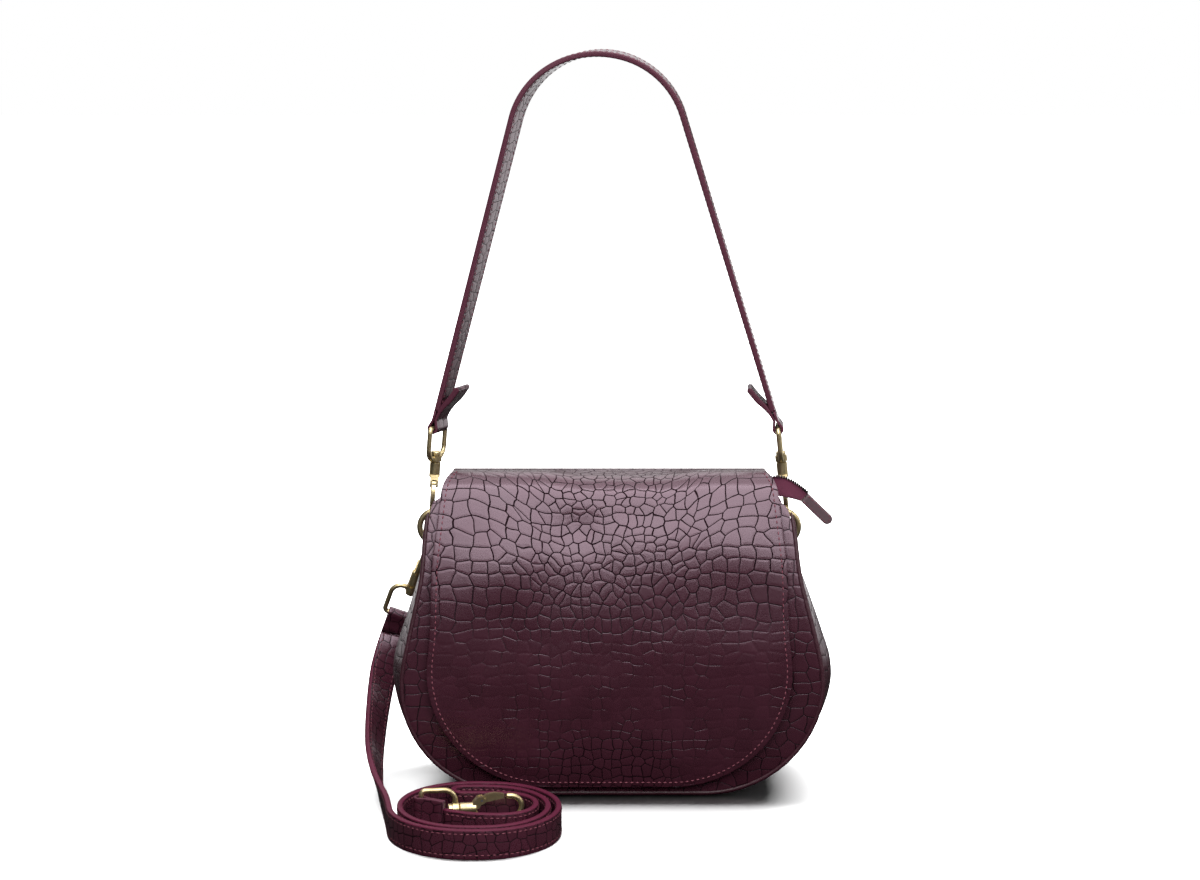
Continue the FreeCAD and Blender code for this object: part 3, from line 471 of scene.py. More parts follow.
def panelPiece(name, side, stands, seed, sink):
    def place(u, v):
        half, z, angle = outlineAt(bag, v)
        corner = bag["leftCorner"] if u < 0.5 else bag["topCorner"]
        x = spread((half - cornerCut(z, corner)) * (2 * u - 1), z, side < 0)
        middle = min(1.0, (1 - abs(2 * u - 1)) * 5) * min(1.0, v * 9, (1 - v) * 9)
        y = side * (depthAt(z) + middle * (slack(x, z, seed) - 0.4 - sink * ramp(z, *bag["sinkHeight"])))
        return (x, y, z), (x / 9.5 + 9, z / 8.5 + seed)

    bm = shapeGrid(84, 84, place, flip=side > 0)
    thicken(settle(bm, name, [crocLeather], "bag", stands), bag["panelWall"], 0.4)


panelPiece("front_panel_leather", -1, ["front_panel"], 3.0, bag["sink"])
panelPiece("back_panel_leather", 1, ["back_panel"], 7.0, 0.0)


def seamStations(firstShare, count):
    # round the seam from the right side's top, under the bag, to the left side's top
    found = []
    for i in range(count + 1):
        half, z, angle = outlineAt(bag, firstShare * (1 - i / count))
        found.append((Vector((half, 0, z)), Vector((math.cos(angle), 0, math.sin(angle)))))
    flat = [(Vector((found[-1][0].x * (1 - 2 * k / 8), 0, bag["bottom"])), Vector((0, 0, -1))) for k in range(1, 8)]
    left = [(Vector((-p.x, 0, p.z)), Vector((-n.x, 0, n.z))) for p, n in reversed(found)]
    return found + flat + left


def gussetPiece():
    stations = seamStations(bag["gussetRun"], 56)
    runs = [0.0]
    for a, b in zip(stations, stations[1:]):
        runs.append(runs[-1] + (b[0] - a[0]).length)

    def place(u, v):
        i = round(v * (len(stations) - 1))
        point, normal = stations[i]
        k = 2 * u - 1
        seam = depthAt(point.z, -bag["leather"]) - 0.25
        under = max(0.0, -normal.z)
        rise = min(1.0, max(0.0, bag["gussetTop"] - point.z) / bag["bulgeRise"])
        bulge = bag["bulge"] * rise * (1 - under) + bag["bottom"] * under
        crown = 1 - abs(k) ** bag["crown"]
        lift = bulge * crown
        sag = (1 - under) * rise * crown * bag["sag"] * noise.noise(Vector((k * 1.6, runs[i] / 30, 2.0)))
        at = point + normal * (lift + sag - 0.4 * (1 - under)) + Vector((0, k * seam, 0))
        at.x = spread(at.x, at.z, (1 - k) / 2)
        at.z = max(at.z, 0.0)
        return at, (k * seam / 10 + 31, runs[i] / 9.5)

    bm = shapeGrid(36, len(stations) - 1, place, flip=True)
    thicken(settle(bm, "gusset_leather", [crocLeather], "bag", ["gusset"]), bag["gussetWall"])


gussetPiece()


def pipingPiece(name, side, node):
    rings = []
    stations = seamStations(bag["pipingRun"], 90)
    for i, (point, normal) in enumerate(stations):
        centre = point + normal * (bag["piping"] + bag["pipingGap"])
        centre.x = spread(centre.x, centre.z, side < 0)
        centre.y = side * (depthAt(point.z) - bag["leather"] / 2)
        fromEnd = min(i, len(stations) - 1 - i)
        swell = (1 + 0.05 * math.sin(i * 1.9)) * math.sqrt(min(1.0, 0.05 + fromEnd / 3))
        rings.append((centre, normal, Vector((0, 1, 0)), bag["piping"] * swell))
    tubePiece(name, rings, [pipingLeather], "bag", [node], 10)


pipingPiece("front_piping_cord", -1, "front_piping")
pipingPiece("back_piping_cord", 1, "back_piping")
print("body made")

# Inside: a sling of lining down the front and up the back, and its side walls

inside = {"gap": 2.9, "run": 0.885, "pocketGap": 3.7, "pocketHalf": 48.0, "pocketLow": 70.0, "pocketHeight": 70.0}
insideShape = dict(bag, halfWidth=127.1, bottom=7.4, corner=67.1, topHalf=103.1)


def slingPiece():
    def place(u, v):
        k = 2 * v - 1
        half, z, angle = outlineAt(insideShape, min(1.0, max(0.0, abs(k) * 1.12 - 0.12)) * inside["run"])
        y = depthAt(z, -inside["gap"] - 0.3) - (bag["sink"] if k < 0 else 0.0)
        y = y * (1 if k > 0 else -1) if abs(k) > 0.107 else y * k / 0.107
        return ((2 * u - 1) * half, y, z), (u * 200, v * 340)

    bm = shapeGrid(40, 112, place)
    thicken(settle(bm, "lining_sling", [liningCloth], "bag", ["lining"]), 0.6)


def sideLining():
    stations = seamStations(inside["run"], 40)

    def place(u, v):
        point, normal = stations[round(v * (len(stations) - 1))]
        k = 2 * u - 1
        at = point - normal * 3.0 + Vector((0, k * depthAt(point.z, -inside["gap"] - 0.4), 0))
        at.x = spread(at.x, at.z, (1 - k) / 2)
        return at, (u * 80, v * 400)

    bm = shapeGrid(14, len(stations) - 1, place)
    thicken(settle(bm, "lining_sides", [liningCloth], "bag"), 0.5)


def pocketPiece():
    def place(u, v):
        x, z = (2 * u - 1) * inside["pocketHalf"], inside["pocketLow"] + inside["pocketHeight"] * v
        puff = 0.8 * math.sin(math.pi * u) * v
        return (x, depthAt(z, -inside["pocketGap"]) - puff, z), (u * 96, v * 70)

    bm = shapeGrid(24, 18, place)
    thicken(settle(bm, "slip_pocket_cloth", [liningCloth], "bag", ["slip_pocket"]), 0.7)


slingPiece()
sideLining()
pocketPiece()
print("lining made")

# Flap

flap = {"halfWidth": 115.0, "topHalf": 100.0, "top": 212.0, "bottom": 9.0, "corner": 76.0,
        "baseTop": 201.4, "frontFillet": 14.0, "backFillet": 8.0, "back": 21.4, "hinge": 190.0,
        "outer": 4.65, "leather": 2.2, "liningIn": 2.3, "liningInset": 2.0,
        "stitchInset": 3.2, "stitchPitch": 3.5, "stitch": (2.4, 0.9, 0.7),
        "stitchLean": 0.35, "nip": 6.0, "nipFrom": 195.0, "nipRise": 11.2, "wide": 4.2, "dip": 2.8, "roll": 2.6,
        "wideHeight": (100, 60), "wideDepth": (27, -16), "frontDepth": (14, -26),  # a start and a stretch
        "dipLeft": (-44, 28), "dipRight": (30, 32), "dipHeight": (184, 18), "rollDepth": (-12, 26), "rollRise": 14,
        "handHeight": (8, 20), "leanHeight": (60, 130), "hand": (0.7, 42, 38),  # height, reach across and up
        "dents": [(2.0, -20, 18, 174, 14), (1.2, 22, 26, 183, 10),  # depth, x, its reach, z, its reach
                  (-1.5, -64, 30, 147, 26), (-1.5, 66, 32, 164, 26)]}


def flapRows(offset, shape, steps):
    # rows of (depth, height, half width) from the hinge over the top to the lower edge
    centreY = arcRadius - bag["bellyDepth"]
    frontZ = flap["baseTop"] - flap["frontFillet"]
    frontY = centreY - math.sqrt((arcRadius - flap["frontFillet"]) ** 2 - (frontZ - bag["bellyHeight"]) ** 2)
    backY, backZ = flap["back"] - flap["backFillet"], flap["baseTop"] - flap["backFillet"]
    join = math.atan2(frontZ - bag["bellyHeight"], centreY - frontY)
    points = [(flap["back"] + offset, flap["hinge"] + (backZ - flap["hinge"]) * k / 2) for k in range(2)]
    backRound, frontRound = flap["backFillet"] + offset, flap["frontFillet"] + offset
    points += [(backY + backRound * math.cos(a), backZ + backRound * math.sin(a))
               for a in [math.pi / 2 * k / 8 for k in range(9)]]
    points += [(backY + (frontY - backY) * k / 12, flap["baseTop"] + offset) for k in range(1, 12)]
    turn = [math.pi / 2 + (math.pi / 2 - join) * k / 9 for k in range(10)]
    points += [(frontY + frontRound * math.cos(a), frontZ + frontRound * math.sin(a)) for a in turn]

    def sideHalf(z):
        low, high = outlineAt(shape, 0.9), outlineAt(shape, 1.0)
        return low[0] + (high[0] - low[0]) * (z - low[1]) / (high[1] - low[1])

    rows = [(y, z, sideHalf(z)) for y, z in points]
    startZ = points[-1][1]
    start = next(i for i in range(1000, 0, -1) if outlineAt(shape, i / 1000)[1] < startZ - 1.6) / 1000
    for i in range(steps + 1):
        half, z, angle = outlineAt(shape, start * (1 - i / steps))
        rows.append((-depthAt(z, offset), z, half))
    return rows


def flapHand(x, z):
    # soft dents and swells of the flap, in millimetres towards the bag
    height, across, up = flap["hand"]
    shift = height * noise.noise(Vector((x / across, z / up, 1.0)))
    for depth, atX, reachX, atZ, reachZ in flap["dents"]:
        shift += depth * math.exp(-((x - atX) / reachX) ** 2 - ((z - atZ) / reachZ) ** 2)
    return shift


def cellRun(limit, sizeAt):
    total, table = 0.0, [0.0]
    for i in range(limit):
        total += 1.0 / sizeAt(i + 0.5)
        table.append(total)
    return lambda x: table[min(limit, int(x))] + (x - int(x)) / sizeAt(x + 0.001)


flapCells = {"size": 6.4, "aside": 3.8, "middle": 0.8, "upper": 1.2, "stretch": 0.45, "stretchFrom": 110.0,
             "sideOver": (30, 60), "middleOver": (40, 20), "upperOver": (112, 40), "stretchOver": (90, 50)}


def acrossSize(x):
    return flapCells["size"] + flapCells["aside"] * ramp(x, *flapCells["sideOver"])


def upSize(run):
    more, less = [flapCells[key] * ramp(run, *flapCells[key + "Over"]) for key in ("middle", "upper")]
    return flapCells["size"] + more - less


acrossCells = cellRun(140, acrossSize)
upCells = cellRun(300, upSize)


def flapPattern(x, run):
    start = flapCells["stretchFrom"]
    wide = 1 + flapCells["stretch"] * ramp(abs(x), *flapCells["sideOver"]) * ramp(run, *flapCells["stretchOver"])
    rise = upCells(run) if run < start else (upCells(run) - upCells(start)) / wide + upCells(start)
    return math.copysign(acrossCells(abs(x)), x) + 50, rise, math.sqrt(acrossSize(abs(x)) * upSize(run) * wide)


def flapSheet(offset, inset, steps):
    shape = dict(flap, halfWidth=flap["halfWidth"] - inset, bottom=flap["bottom"] + inset,
                 corner=flap["corner"] - inset, topHalf=flap["topHalf"] - inset)
    rows = flapRows(offset, shape, steps)
    runs = [0.0]
    for a, b in zip(rows[::-1], rows[-2::-1]):
        runs.append(runs[-1] + math.hypot(a[0] - b[0], a[1] - b[1]))
    runs = runs[::-1]
    last = len(rows) - 1

    def place(u, v):
        i = round(v * last)
        y, z, half = rows[i]
        front = ramp(y, *flap["frontDepth"])
        over = min(1.0, max(0.0, (z - flap["nipFrom"]) / flap["nipRise"]))
        wide = flap["wide"] * ramp(z, *flap["wideHeight"]) * ramp(y, *flap["wideDepth"])
        wide -= flap["nip"] * (1 - math.sqrt(1 - over * over))
        x = (half + wide) * (2 * u - 1)
        dip = flap["dip"] * (ramp(x, *flap["dipLeft"]) - ramp(x, *flap["dipRight"]))
        dip *= ramp(z, *flap["dipHeight"]) * front
        roll = flap["roll"] * ramp(y, *flap["rollDepth"]) * ramp(z, flap["hinge"], flap["rollRise"])
        hand = flapHand(x, z) * front * ramp(z, *flap["handHeight"])
        return (x, y + hand, z - dip - roll), flapPattern(x, runs[i])

    return place, rows


def flapPieces():
    place, rows = flapSheet(flap["outer"], 0.0, 92)
    bm = shapeGrid(112, len(rows) - 1, place, flip=True)
    leather = settle(bm, "flap_leather", [flapLeather, edgePaint], "flap", ["flap"])
    thicken(leather, flap["leather"], 0.5, 1)
    place, rows = flapSheet(flap["liningIn"], flap["liningInset"], 60)
    bm = shapeGrid(70, len(rows) - 1, place, flip=True)
    lining = settle(bm, "flap_lining_cloth", [liningCloth], "flap", ["flap_lining"])
    thicken(lining, 0.8)


def flapStitches():
    # a line all round the front, a little inside the edge
    place, rows = flapSheet(flap["outer"], flap["stitchInset"], 120)
    last = len(rows) - 1
    first = next(i for i, row in enumerate(rows) if row[0] < -8)
    left = [Vector(place(0.0, i / last)[0]) for i in range(first, last + 1)]
    foot = [Vector(place(k / 40, 1.0)[0]) for k in range(1, 40)]
    right = [Vector(place(1.0, i / last)[0]) for i in range(last, first - 1, -1)]
    sewn = []
    for point, way, i in spaced(left + foot + right, flap["stitchPitch"]):
        up = Vector((0, -1, flap["stitchLean"] * ramp(point.z, *flap["leanHeight"])))
        up = (up - way * up.dot(way)).normalized()
        sewn.append((point + up * 0.15, way, up))
    stitchRow("flap_stitches", sewn, flap["stitch"], "flap")


flapPieces()
flapStitches()


strip = {"half": 100.0, "low": 168.0, "rise": 21.6, "stand": 2.3, "wall": 2.0, "seam": 171.5, "seamHalf": 97.0,
         "stitchPitch": 3.5, "stitch": (2.5, 0.9, 0.6)}


def backStrip():
    def place(u, v):
        x, z = (2 * u - 1) * strip["half"], strip["low"] + strip["rise"] * v
        return (x, depthAt(z, strip["stand"]), z), (x / 9, z / 9)

    bm = shapeGrid(60, 12, place, flip=True)
    piece = settle(bm, "flap_back_strip_leather", [crocLeather], "bag", ["flap_back_strip"])
    thicken(piece, strip["wall"], 0.4)
    y, z = depthAt(strip["seam"], strip["stand"] + 0.05), strip["seam"]
    row = [Vector(((2 * k / 60 - 1) * strip["seamHalf"], y, z)) for k in range(61)]
    sewn = [(point, way, Vector((0, 1, 0))) for point, way, i in spaced(row, strip["stitchPitch"])]
    stitchRow("back_strip_stitches", sewn, strip["stitch"], "bag")


backStrip()
print("flap made")

# Zip under the flap and its free tail

zipper = {"level": 188.6, "half": 94.0, "facing": 1.2, "tape": 0.9, "tapeWide": 9.9, "tapeY": 7.7,
          "inner": 6.0, "outer": 19.196, "toothPitch": 2.4, "tooth": (1.2, 2.3, 1.5)}


def straightFrames(start, end, wide, up, steps):
    a, b = Vector(start), Vector(end)
    return [(a.lerp(b, i / steps), Vector(wide), Vector(up)) for i in range(steps + 1)]


def zipHalf(side, end):
    body, half = "zip_" + end, zipper["half"]
    middle = side * (zipper["inner"] + zipper["outer"]) / 2
    top = zipper["level"] + zipper["facing"] / 2
    frames = straightFrames((-half, middle, top), (half, middle, top), (0, 1, 0), (0, 0, 1), 60)
    bandPiece("zip_facing_" + end + "_leather", frames, zipper["outer"] - zipper["inner"] - 0.1, zipper["facing"], 0.4,
              [crocLeather, edgePaint], body, ["zip_facing_" + end], 9.0)
    under, tapeY = zipper["level"] - 0.05 - zipper["tape"] / 2, side * zipper["tapeY"]
    frames = straightFrames((-half, tapeY, under), (half, tapeY, under), (0, 1, 0), (0, 0, 1), 40)
    bandPiece("zip_tape_" + end + "_cloth", frames, zipper["tapeWide"], zipper["tape"], 0.3,
              [zipCloth, zipCloth], body, ["zip_tape_" + end], 1.0)
    seats = []
    for i in range(int(2 * half / zipper["toothPitch"])):
        x = -half + zipper["toothPitch"] * (i + (0.3 if side > 0 else 0.8))
        seats.append(seatOf(Vector((x, side * 1.4, zipper["level"] - 0.85)), Vector((1, 0, 0)), Vector((0, 0, 1)),
                            zipper["tooth"]))
    settle(repeated(zipTooth, seats), "zip_teeth_" + end + "_row", [zipMetal], body,
           ["zip_teeth_" + end], False)


zipHalf(-1, "front")
zipHalf(1, "back")

tail = {"highStart": (94.3, 0, 193.2), "crest": (108.4, 0, 200.8), "lowStart": (94.3, 0, 188.6),
        "belly": (109.4, 0, 188.0), "end": (124.6, 0, 187.4), "fall": 44.0, "half": 3.6,
        "bow": 1.1, "bowTurn": 5.2, "tabHalf": 3.4, "tabRun": 20.4, "toothPitch": 1.6, "tooth": (1.1, 3.4, 1.5),
        "seamHalf": 2.4, "seamStart": 1.5, "seamRun": 19.0, "stitchPitch": 3.0, "stitch": (1.9, 0.7, 0.4)}
tailWay = Vector((math.cos(math.radians(tail["fall"])), 0, -math.sin(math.radians(tail["fall"]))))
tailUp = Vector((-tailWay.z, 0, tailWay.x))
tailHigh = [Vector(tail["highStart"]), Vector(tail["crest"]), Vector(tail["end"]) + tailUp * tail["half"]]
tailLow = [Vector(tail["lowStart"]), Vector(tail["belly"]), Vector(tail["end"]) - tailUp * tail["half"]]


def throughThree(a, b, c, t):
    # quadratic through three points, the middle one at half way
    return a * (1 - t) * (1 - 2 * t) + b * 4 * t * (1 - t) + c * t * (2 * t - 1)


def tailTape():
    section = bandSection(2.0, 1.0, 0.4, 10)

    def place(u, v):
        across, thick = section[round(u * len(section)) % len(section)]
        a, b = throughThree(*tailHigh, v), throughThree(*tailLow, v)
        bow = tail["bow"] * math.sin(v * tail["bowTurn"]) * math.sin(math.pi * v)
        at = (a + b) / 2 + (a - b) / 2 * across
        at.y += thick * 1.5 + bow + 0.8 * math.sin(v * 7 + 1) * (1 - across) / 2 * math.sin(math.pi * v)
        return at, (v * 34, across * 5)

    bm = shapeGrid(len(section), 40, place, True)
    settle(bm, "zip_tail_tape_cloth", [zipCloth], "bag", ["zip_tail_tape"])


def tailTeeth():
    seats = []
    line = [throughThree(*tailHigh, k / 60) for k in range(61)]
    for count, (point, way, i) in enumerate(spaced(line, tail["toothPitch"], tail["toothPitch"] / 2)):
        up = Vector((-way.z, 0, way.x))
        bow = tail["bow"] * math.sin(count / 24 * tail["bowTurn"]) * math.sin(math.pi * min(1, count / 23))
        seats.append(seatOf(point + up * 0.1 + Vector((0, bow * 0.5 - 0.3, 0)), way, up, tail["tooth"]))
    settle(repeated(zipTooth, seats), "zip_tail_teeth_row", [zipMetal], "bag", ["zip_tail_teeth"], False)


def tailTab():
    section = bandSection(2.0, 1.0, 0.22, 8)
    start = Vector(tail["end"]) + tailWay * 0.3
    length = tail["tabRun"] + tail["tabHalf"] - 0.3

    def place(u, v):
        across, thick = section[round(u * len(section)) % len(section)]
        run = length * math.sin(v * math.pi / 2)
        over = max(0.0, run - (tail["tabRun"] - 0.3)) / tail["tabHalf"]
        half = tail["tabHalf"] * math.sqrt(max(0.0004, 1 - over * over))
        puff = 3.8 - 1.2 * v
        return start + tailWay * run + tailUp * half * across + Vector((0, thick * puff, 0)), (run / 8, across)

    bm = shapeGrid(len(section), 36, place, True)
    settle(bm, "zip_tail_tab_leather", [tabLeatherPaintedSheen], "bag", ["zip_tail_tab"])
    turns = [math.pi / 2 - math.pi * k / 12 for k in range(13)]
    high = tail["seamHalf"]
    seam = [(tail["seamStart"], high)]
    seam += [(tail["seamRun"] + high * math.cos(a), high * math.sin(a)) for a in turns]
    seam += [(tail["seamStart"], -high)]
    line = [start + tailWay * run + tailUp * up for run, up in seam]
    sewn = []
    for face in (-1, 1):
        for point, way, i in spaced(line, tail["stitchPitch"]):
            run = (point - start).dot(tailWay)
            sewn.append((point + Vector((0, face * (1.92 - 0.56 * run / length), 0)), way, Vector((0, face, 0))))
    stitchRow("zip_tab_stitches", sewn, tail["stitch"], "bag")


tailTape()
tailTeeth()
tailTab()
print("zip made")

# Ring tabs: a strap of leather sewn on the back, round the ring's bar

ring = {"barX": 110.5, "y": 46.5, "z": 157.5, "wire": 2.0, "bow": 11.0, "corner": 3.0, "hang": 3.0,
        "tab": 8.4, "tabThick": 1.5, "seams": (-3.0, 3.0), "seamFrom": 88.0, "seamTo": 100.0,
        "stitchPitch": 2.8, "stitch": (2.0, 0.8, 0.6),
        "tabUp": [(86.5, 0.0), (94.0, 0.1), (100.0, 0.6), (104.0, 3.6), (106.4, 7.0)],  # x, and height over the panel
        "tabBack": [(106.6, 5.2), (104.4, 2.2), (101.0, -0.5)]}


def ringTab(side, name):
    around = ring["wire"] + 1.05
    sheet = depthAt(ring["z"], 1.2)
    line = [(x, sheet + lift) for x, lift in ring["tabUp"]]
    line += [(ring["barX"] + around * math.cos(a), ring["y"] + around * math.sin(a))
             for a in [math.radians(200 - 22 * k) for k in range(17)]]
    line += [(x, sheet + lift) for x, lift in ring["tabBack"]]
    points = [Vector((side * x, y, ring["z"])) for x, y in line]
    frames = [(point, Vector((0, 0, 1)), way.cross(Vector((0, 0, 1)))) for point, way in headings(points)]
    bandPiece(name + "_ring_tab_leather", frames, ring["tab"], ring["tabThick"], 0.5, [pipingLeather, edgePaint],
              "bag", [name + "_ring_tab"])
    sewn = []
    for lift in ring["seams"]:
        row = [Vector((side * x, sheet + 0.8, ring["z"] + lift)) for x in (ring["seamFrom"], ring["seamTo"])]
        sewn += [(point, way, Vector((0, 1, 0))) for point, way, i in spaced(row, ring["stitchPitch"])]
    stitchRow(name + "_ring_tab_stitches", sewn, ring["stitch"], "bag")


ringTab(-1, "left")
ringTab(1, "right")

# Straps

strap = {"width": 18.5, "thick": 3.5, "soft": 0.8, "stub": 12.0, "archX": -6.0, "archZ": 411.0, "archRadius": 55.5,
         "leftTwist": 21.0, "rightTwist": -4.0, "tail": 29.0, "tailAngle": 22.0, "tailSwell": 1.1,
         "untwist": 1.6, "eyeWire": 1.6, "fold": 2.0, "foldGap": 0.25, "foldLean": 0.88, "foldStart": 5.2,
         "foldEnd": 6.4, "sewInset": 2.7, "sewPitch": 3.6, "sewStart": 3.0, "stitch": (2.5, 0.85, 0.55),
         "eyeHeight": 55.0, "seat": 1.6}


def hookPlace(side, lean):
    reach = ring["bow"] * math.sqrt(1 - (ring["hang"] / ring["bow"]) ** 2)
    seat = Vector((side * (ring["barX"] + ring["corner"] + ring["hang"]), ring["y"], ring["z"] + reach))
    along = Vector((-side * lean, 0, strap["eyeHeight"])).normalized()
    return seat + along * (strap["seat"] + strap["eyeHeight"]), along


leftBar, leftAlong = hookPlace(-1, 4.5)
rightBar, rightAlong = hookPlace(1, 6.0)
arch = Vector((strap["archX"], ring["y"], strap["archZ"]))


def touchPoint(bar, side):
    away = bar - arch
    angle = math.atan2(away.z, away.x) + side * math.acos(strap["archRadius"] / math.hypot(away.x, away.z))
    return angle % (2 * math.pi)


leftTurn, rightTurn = touchPoint(leftBar, -1), touchPoint(rightBar, 1)


def onArch(angle):
    return arch + Vector((math.cos(angle), 0, math.sin(angle))) * strap["archRadius"]


leftWay = (onArch(leftTurn) - leftBar).normalized()
rightWay = (onArch(rightTurn) - rightBar).normalized()


def widthWay(way, twist):
    outer = Vector((-way.z, 0, way.x))
    return Vector((0, 1, 0)) * math.cos(twist) - outer * math.sin(twist)


def squareTo(way, axis):
    return (way - axis * axis.dot(way)).normalized()


leftWide = squareTo(widthWay(leftWay, math.radians(strap["leftTwist"])), leftAlong)
rightWide = squareTo(widthWay(-rightWay, math.radians(strap["rightTwist"])), rightAlong)
leftFold, rightFold = squareTo(leftWay, leftWide), squareTo(rightWay, rightWide)


def sewBoth(frames, name, body):
    # two rows of stitches on each face of a strap
    sewn = []
    for face in (-1, 1):
        for edge in (-1, 1):
            across = edge * (strap["width"] / 2 - strap["sewInset"])
            line = [p + w * across + n * face * (strap["thick"] / 2) for p, w, n in frames]
            for point, way, i in spaced(line, strap["sewPitch"], strap["sewStart"]):
                sewn.append((point, way, squareTo(frames[i][2] * face, way)))
    return stitchRow(name, sewn, strap["stitch"], body)


def shoulderStrap():
    frames = []
    legSteps, archSteps = 130, 90
    first, last = leftBar + leftFold * strap["stub"], rightBar + rightFold * strap["stub"]
    for i in range(legSteps):
        point = first.lerp(onArch(leftTurn), i / legSteps)
        wide = leftWide.lerp(widthWay(leftWay, math.radians(strap["leftTwist"])), ramp(i, 0, legSteps)).normalized()
        frames.append((point, wide, leftWay))
    for i in range(archSteps + 1):
        angle = leftTurn + (rightTurn - leftTurn) * i / archSteps
        out = Vector((math.cos(angle), 0, math.sin(angle)))
        way = Vector((out.z, 0, -out.x))
        share = ramp(i * strap["untwist"], 0, archSteps)
        twist = strap["leftTwist"] + (strap["rightTwist"] - strap["leftTwist"]) * share
        frames.append((onArch(angle), widthWay(way, math.radians(twist)), way))
    for i in range(1, legSteps + 1):
        point = onArch(rightTurn).lerp(last, i / legSteps)
        wide = widthWay(-rightWay, math.radians(strap["rightTwist"])).lerp(rightWide, ramp(i, 0, legSteps)).normalized()
        frames.append((point, wide, -rightWay))
    frames = [(p, w, way.cross(w).normalized()) for p, w, way in frames]
    bandPiece("shoulder_strap_leather", frames, strap["width"], strap["thick"], strap["soft"],
              [strapLeather, strapEdge], "handle", ["shoulder_strap"], 6.6, 10)
    sewBoth(frames, "shoulder_strap_stitches", "handle")


def strapEnd(name, bar, way, wide, tailSide, stub, body, node):
    # leather folded round the eye's bar; local up is way, local out is way x wide
    out = way.cross(wide).normalized()
    around = strap["eyeWire"] + strap["foldGap"] + strap["fold"] / 2
    lean = strap["foldLean"]
    face = -tailSide if tailSide else 1
    line = [(face * lean, stub), (face * lean, stub * 0.7), (face * (lean + 0.2), strap["foldStart"])]
    turns = [math.radians(-35 + 25 * k) for k in range(11)]
    line += [(face * around * math.cos(a), -around * math.sin(a)) for a in turns]
    line += [(-face * (lean + 0.2), strap["foldStart"]), (-face * lean, strap["foldEnd"])]
    swell = [1.0] * len(line)
    if tailSide:
        start = Vector((tailSide * lean, strap["foldEnd"]))
        steps = [(k / 8, 1 + strap["tailSwell"] * ramp(k, 0, 5)) for k in range(1, 9)]
        steps += [(1 + 0.06 * math.sin(a), (1 + strap["tailSwell"]) * math.cos(a)) for a in (0.5, 1.0, 1.4)]
        for k, size in steps:
            angle = math.radians(strap["tailAngle"]) * min(1.0, 0.35 + k)
            run = strap["tail"] * 0.87 * k
            line.append((start.x + tailSide * math.sin(angle) * run, start.y + math.cos(angle) * run))
            swell.append(size)
    else:
        line += [(-face * lean, stub * 0.8), (-face * lean, stub - 0.4)]
        swell += [1.0, 1.0]
    points = [bar + out * x + way * y for x, y in line]
    frames = [(point, wide, heading.cross(wide).normalized() * size)
              for (point, heading), size in zip(headings(points), swell)]
    return bandPiece(name, frames, strap["width"], strap["fold"] * 0.86, 0.5, [strapLeather, strapEdge], body,
                     [node], 6.6, 10)


shoulderStrap()
strapEnd("left_strap_end_leather", leftBar, leftFold, leftWide, -1, strap["stub"], "handle", "left_strap_end")
strapEnd("right_strap_end_leather", rightBar, rightFold, rightWide, 1, strap["stub"], "handle", "right_strap_end")
print("shoulder strap made")

# Crossbody strap: hangs from the left ring's hook, coils on the floor

cross = {"ringAngle": -62.0, "way": (-22.0, 9.0, -60.0), "upperStub": 14.0, "freeStub": 18.0, "freeLift": 14.05,
         "coilX": -81.5, "coilY": -106.0, "straight": 10.0, "radius": 49.0, "pitch": 6.6, "hairpinX": -91.0,
         "hairpin": 6.5, "innerX": -66.0, "innerRadius": 21.0, "innerRun": 6.0, "bendRadius": 50.0, "bend": 35.0}
riserRoute = [  # the route in metres, and the strap's turn from flat to on edge
    (-0.1485, 0.0510, 0.0660, 24), (-0.1510, 0.0360, 0.0525, 40), (-0.1518, 0.0170, 0.0420, 49),
    (-0.1518, -0.0030, 0.0330, 55), (-0.1512, -0.0210, 0.0250, 61), (-0.1492, -0.0390, 0.0184, 69),
    (-0.1458, -0.0570, 0.0134, 78), (-0.1416, -0.0740, 0.0106, 85), (-0.1380, -0.0900, 0.0096, 89)]
ringTurn = math.radians(cross["ringAngle"])
upperSeat = Vector((-ring["barX"] - ring["corner"] - ring["bow"] * math.cos(ringTurn), ring["y"],
                    ring["z"] + ring["bow"] * math.sin(ringTurn)))
upperWay = Vector(cross["way"]).normalized()
upperBar = upperSeat + upperWay * (strap["seat"] + strap["eyeHeight"])
upperWide = squareTo(Vector((1, 0, 0)), upperWay)


def coilRoute():
    # the turns' own points, lines and arcs taken a little at a time
    left, right = cross["coilX"] - cross["straight"] / 2, cross["coilX"] + cross["straight"] / 2
    points = []
    pen = Vector((left - cross["radius"], cross["coilY"]))

    def turn(centre, start, sweep, step):
        nonlocal pen
        radius = (pen - centre).length
        count = max(2, round(abs(sweep) / step))
        for k in range(count + 1):
            a = math.radians(start + sweep * k / count)
            points.append(centre + Vector((math.cos(a), math.sin(a))) * radius)
        pen = points[-1].copy()

    turn(Vector((left, cross["coilY"])), 180, 90, 15)
    pen = Vector((right, pen.y))
    for i in (1, 2, 3):
        radius = cross["radius"] - i * cross["pitch"] / 2
        if i % 2:
            turn(pen + Vector((0, radius)), -90, 180, 15)
            pen = Vector((left if i < 3 else cross["hairpinX"], pen.y))
        else:
            turn(pen - Vector((0, radius)), 90, 180, 15)
            pen = Vector((right, pen.y))
    turn(pen - Vector((0, cross["hairpin"])), 90, 180, 30)
    pen = Vector((cross["innerX"], pen.y))
    turn(pen - Vector((0, cross["innerRadius"])), 90, -180, 20)
    pen = pen - Vector((cross["innerRun"], 0))
    turn(pen + Vector((0, cross["bendRadius"])), -90, -cross["bend"], 12)
    return points


